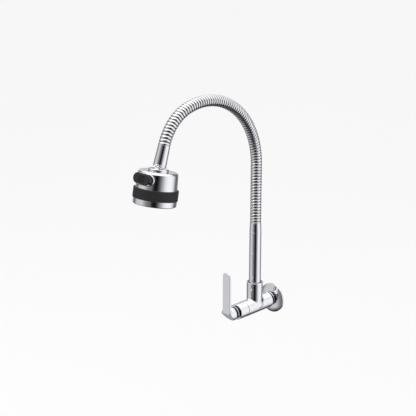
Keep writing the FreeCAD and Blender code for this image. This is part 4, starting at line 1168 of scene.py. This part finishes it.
class TAP_OT_mode_switch(bpy.types.Operator):
    """Make the mode switch: its chrome bezel and the ribbed black rocker"""
    bl_idname = "tap.make_mode_switch"
    bl_label = "Mode Switch"

    def execute(self, context):
        self.bezel()
        self.rocker()
        return {"FINISHED"}

    def bezel(self):
        points = HEAD.local(node_points("switch_bezel"))
        low, high = points.min(0), points.max(0)
        front, back = low[1], high[1]
        width, height = high[0] - low[0], high[2] - low[2]
        middle = 0.5 * (low[2] + high[2])
        rim = 1.5
        gap = 0.5
        floor = front + 4.2
        well_w = 12.0
        pivot = HEAD.local(joint_point("switch_rock"))
        pin_r = 1.02

        lip_r = HEAD.girth("head_shell") + 0.6
        end_floor = front + 9.0
        end_start = 12.6
        pin_half = 12.1

        def bezel(x, y, z):
            up = z - middle
            solid = slab(pill(x, up, width, height), y, front, back, 0.1)
            solid = soft_cut(solid, lip_r - np.hypot(x, y), 0.9)
            dish = slab(pill(x, up, width - 2 * rim + 2 * gap, height - 2 * rim + 2 * gap), y,
                        front - PAST, np.where(np.abs(x) > end_start, end_floor, floor), 0.0)
            well = slab(box_outline(x, up, 0.5 * well_w, 0.5 * height - rim - gap, 0.4), y,
                        front - PAST, back + PAST, 0.0)
            pin = slab(np.hypot(y - pivot[1], z - pivot[2]) - pin_r, x, -pin_half, pin_half, 0.0)
            return soft_cut(solid, np.minimum(np.minimum(dish, well), pin), 0.3)

        make_piece("switch_bezel_polished", placed(HEAD, sculpted(bezel, low, high, 0.32)), "head", "chrome",
                   ["switch_bezel"])

    def rocker(self):
        pivot_world = joint_point("switch_rock")
        lean = math.radians(5.0)
        head_z = HEAD.frame[2]
        angle = math.atan2(head_z[1], head_z[2]) + lean
        axis = Axis(pivot_world, (0, math.sin(angle), math.cos(angle)))
        points = axis.local(node_points("switch_rocker"))
        low, high = points.min(0), points.max(0)
        width = high[0] - low[0]
        plate_front = low[1] + 0.7
        thick = 3.2
        height = 15.0
        rib_r = 0.7
        rib_half = 5.5
        rib_pitch = 2.2
        knuckle_r = 2.6
        knuckle_half = 4.0
        pin_r = 1.05
        peg_r = 1.1
        peg_tip = high[1] - peg_r
        skirt = 1.6
        skirt_start = 13.0
        pin_half = 12.6

        def rocker(x, y, z):
            flat = pill(x, z, width, height)
            plate = slab(flat, y, plate_front, plate_front + thick, 0.9)
            pad = slab(box_outline(x, z, 6.4, 6.2, 2.0), y, plate_front - 0.3, plate_front + 2.0, 0.3)
            plate = soft_join(plate, pad, 0.5)
            nearest = np.clip(np.round(x / rib_pitch), -2, 2) * rib_pitch
            along = np.maximum(np.abs(z) - rib_half + rib_r, 0)
            rib = np.sqrt((x - nearest) ** 2 + (y - plate_front) ** 2 + along ** 2) - rib_r
            solid = soft_join(plate, rib, 0.25)
            boss = slab(box_outline(x, z, knuckle_half, knuckle_r, 0.3), y, plate_front + 1.0, 0.0, 0.0)
            knuckle = slab(np.hypot(y, z) - knuckle_r, x, -knuckle_half, knuckle_half, 0.2)
            peg = np.hypot(x, z) - peg_r
            peg = np.maximum(peg, np.maximum(-y, y - peg_tip))
            ball = np.sqrt(x ** 2 + (y - peg_tip) ** 2 + z ** 2) - peg_r
            ends = slab(pill(x, z, width, height), y, plate_front, skirt, 0.9)
            ends = np.maximum(ends, skirt_start - np.abs(x))
            solid = np.minimum(solid, ends)
            solid = soft_join(solid, np.minimum(boss, knuckle), 0.4)
            solid = soft_join(solid, np.minimum(peg, ball), 0.3)
            return soft_cut(solid, slab(np.hypot(y, z) - pin_r, x, -pin_half, pin_half, 0.0), 0.15)

        make_piece("mode_rocker", placed(axis, sculpted(rocker, low, high, 0.3)), "switch", "switch_plastic",
                   ["switch_rocker"])


# ---- the pieces that stay as they are ----

class TAP_OT_inner_works(bpy.types.Operator):
    """Give every machined, sealing and moulded piece that stays from the frame its finish"""
    bl_idname = "tap.finish_inner_works"
    bl_label = "Inner Works"

    def execute(self, context):
        special = {"cartridge_housing": "dark_neck", "ball_nipple": "chrome",
                   "riser_slip_ring": "liner_rubber"}
        for name, node in PLAIN_NODES.items():
            if node.hide_render:
                continue
            slot = node.data.materials[0].name.split(".")[0]
            node.data.materials.clear()
            node.data.materials.append(finish_for(special.get(name, slot)))
        return {"FINISHED"}


# ---- studio ----

class TAP_OT_studio(bpy.types.Operator):
    """Make the floor, the soft surroundings, the key light and the camera"""
    bl_idname = "tap.make_studio"
    bl_label = "Studio"

    def execute(self, context):
        studio = context.scene.tap_studio
        context.scene.view_settings.view_transform = "Standard"
        self.floor()
        self.surroundings(studio)
        self.key_light()
        self.camera(studio)
        return {"FINISHED"}

    def floor(self):
        size = 14.0
        drop = 0.33
        height = CAD_BOX[0][2] - drop
        mesh = bpy.data.meshes.new("studio_floor")
        mesh.from_pydata([(-size, -size, height), (size, -size, height), (size, size, height),
                          (-size, size, height)], [], [(0, 1, 2, 3)])
        floor = bpy.data.objects.new("studio_floor", mesh)
        bpy.context.scene.collection.objects.link(floor)
        finish = Finish("pale_floor", roughness=0.9, specular_ior_level=0.0)
        cloud = finish.noise(900.0, detail=1.0)
        finish.colour(finish.mix(cloud, (0.925, 0.925, 0.925), (0.935, 0.935, 0.935)))
        mesh.materials.append(finish.material)
        floor.visible_glossy = False

    def surroundings(self, studio):
        """Soft light by direction: bright sides and ceiling, with dark flags that shape the chrome."""
        world = bpy.data.worlds.new("studio_surround")
        bpy.context.scene.world = world
        world.use_nodes = True
        sheet = Sheet(world.node_tree)
        way = sheet.node("ShaderNodeTexCoord", output=0)
        parts = sheet.tree.nodes.new("ShaderNodeSeparateXYZ")
        sheet.tree.links.new(way.socket, parts.inputs[0])
        x, y, z = (Value(sheet, parts.outputs[i]) for i in range(3))
        turn = x.maths("ARCTAN2", x, -1.0 * y)
        place = turn / (2 * math.pi) + 0.5
        sides = [(-180, 0.08), (-163, 0.12), (-150, 0.4), (-125, 0.7), (-104, 0.45), (-90, 0.14), (-76, 0.2),
                 (-60, 0.56), (-44, 0.6), (-24, 0.62), (-8, 0.36), (6, 0.2), (20, 0.15), (30, 0.03),
                 (40, 0.006), (50, 0.01), (60, 0.08), (71, 0.26), (82, 0.5), (94, 0.8), (112, 0.98),
                 (135, 0.94),
                 (150, 0.66), (164, 0.25), (180, 0.08)]
        stops = [((azimuth + 180) / 360, (level, level, min(1.0, level * 1.04))) for azimuth, level in sides]
        band = sheet.node("ShaderNodeValToRGB", {"stops": stops}, {0: place})
        lift = sheet.smooth(z, 0.4, 0.72)
        upper = sheet.mix(lift, band, (1.25, 1.25, 1.25))
        drop = sheet.smooth(-1.0 * z, 0.6, 0.88)
        seen = sheet.mix(drop, upper, (0.03, 0.03, 0.035))
        glow = sheet.mix(0.5 + 0.5 * sheet.smooth(z, -0.2, 0.4), (0.9, 0.9, 0.9), (1.0, 1.0, 1.0))
        light = sheet.tree.nodes.new("ShaderNodeLightPath")
        camera_ray = Value(sheet, light.outputs["Is Camera Ray"])
        glossy_ray = Value(sheet, light.outputs["Is Glossy Ray"])
        colour = sheet.mix(glossy_ray, glow, seen)
        colour = sheet.mix(camera_ray, colour, (0.945, 0.945, 0.945))
        background = sheet.node("ShaderNodeBackground", None, {"Color": colour, "Strength": studio.surround})
        output = sheet.tree.nodes.new("ShaderNodeOutputWorld")
        sheet.tree.links.new(background.socket, output.inputs[0])

    def key_light(self):
        light = bpy.data.lights.new("soft_key", "AREA")
        light.shape = "DISK"
        light.size = 0.5
        light.energy = 3.0
        lamp = bpy.data.objects.new("soft_key", light)
        bpy.context.scene.collection.objects.link(lamp)
        turn, lift, away = math.radians(-20), math.radians(52), 1.6
        lamp.location = (math.sin(turn) * math.cos(lift) * away, -math.cos(turn) * math.cos(lift) * away,
                         math.sin(lift) * away + 0.15)
        lamp.rotation_euler = (math.radians(90) - lift, 0.0, turn)

    def camera(self, studio):
        camera = bpy.data.cameras.new("studio_camera")
        camera.lens = studio.lens
        camera.sensor_width = 36.0
        eye = bpy.data.objects.new("studio_camera", camera)
        bpy.context.scene.collection.objects.link(eye)
        turn, lift = math.radians(studio.azimuth), math.radians(studio.elevation)
        back = np.array([math.sin(turn) * math.cos(lift), -math.cos(turn) * math.cos(lift), math.sin(lift)])
        eye.location = tuple(np.array(studio.aim) + back * studio.distance)
        eye.rotation_euler = (math.radians(90) - lift, 0.0, turn)
        bpy.context.scene.camera = eye


OPERATORS = (TAP_OT_inlet, TAP_OT_valve_body, TAP_OT_bonnet, TAP_OT_lever, TAP_OT_riser, TAP_OT_gooseneck,
             TAP_OT_upper_neck, TAP_OT_spray_head, TAP_OT_mode_switch, TAP_OT_inner_works, TAP_OT_studio)


class TAP_PT_tools(bpy.types.Panel):
    """The tap's pieces and their settings"""
    bl_label = "Gooseneck Tap"
    bl_idname = "TAP_PT_tools"
    bl_space_type = "VIEW_3D"
    bl_region_type = "UI"
    bl_category = "Tap"

    def draw(self, context):
        for holder, group in SETTINGS:
            box = self.layout.box()
            for name in group.__annotations__:
                box.prop(getattr(context.scene, holder), name)
        for operator in OPERATORS:
            self.layout.operator(operator.bl_idname)


def register():
    for holder, group in SETTINGS:
        bpy.utils.register_class(group)
        setattr(bpy.types.Scene, holder, PointerProperty(type=group))
    for operator in OPERATORS:
        bpy.utils.register_class(operator)
    bpy.utils.register_class(TAP_PT_tools)


def unregister():
    bpy.utils.unregister_class(TAP_PT_tools)
    for operator in reversed(OPERATORS):
        bpy.utils.unregister_class(operator)
    for holder, group in reversed(SETTINGS):
        delattr(bpy.types.Scene, holder)
        bpy.utils.unregister_class(group)


def main():
    register()
    for operator in OPERATORS:
        section, name = operator.bl_idname.split(".")
        getattr(getattr(bpy.ops, section), name)()


if __name__ == "__main__":
    main()
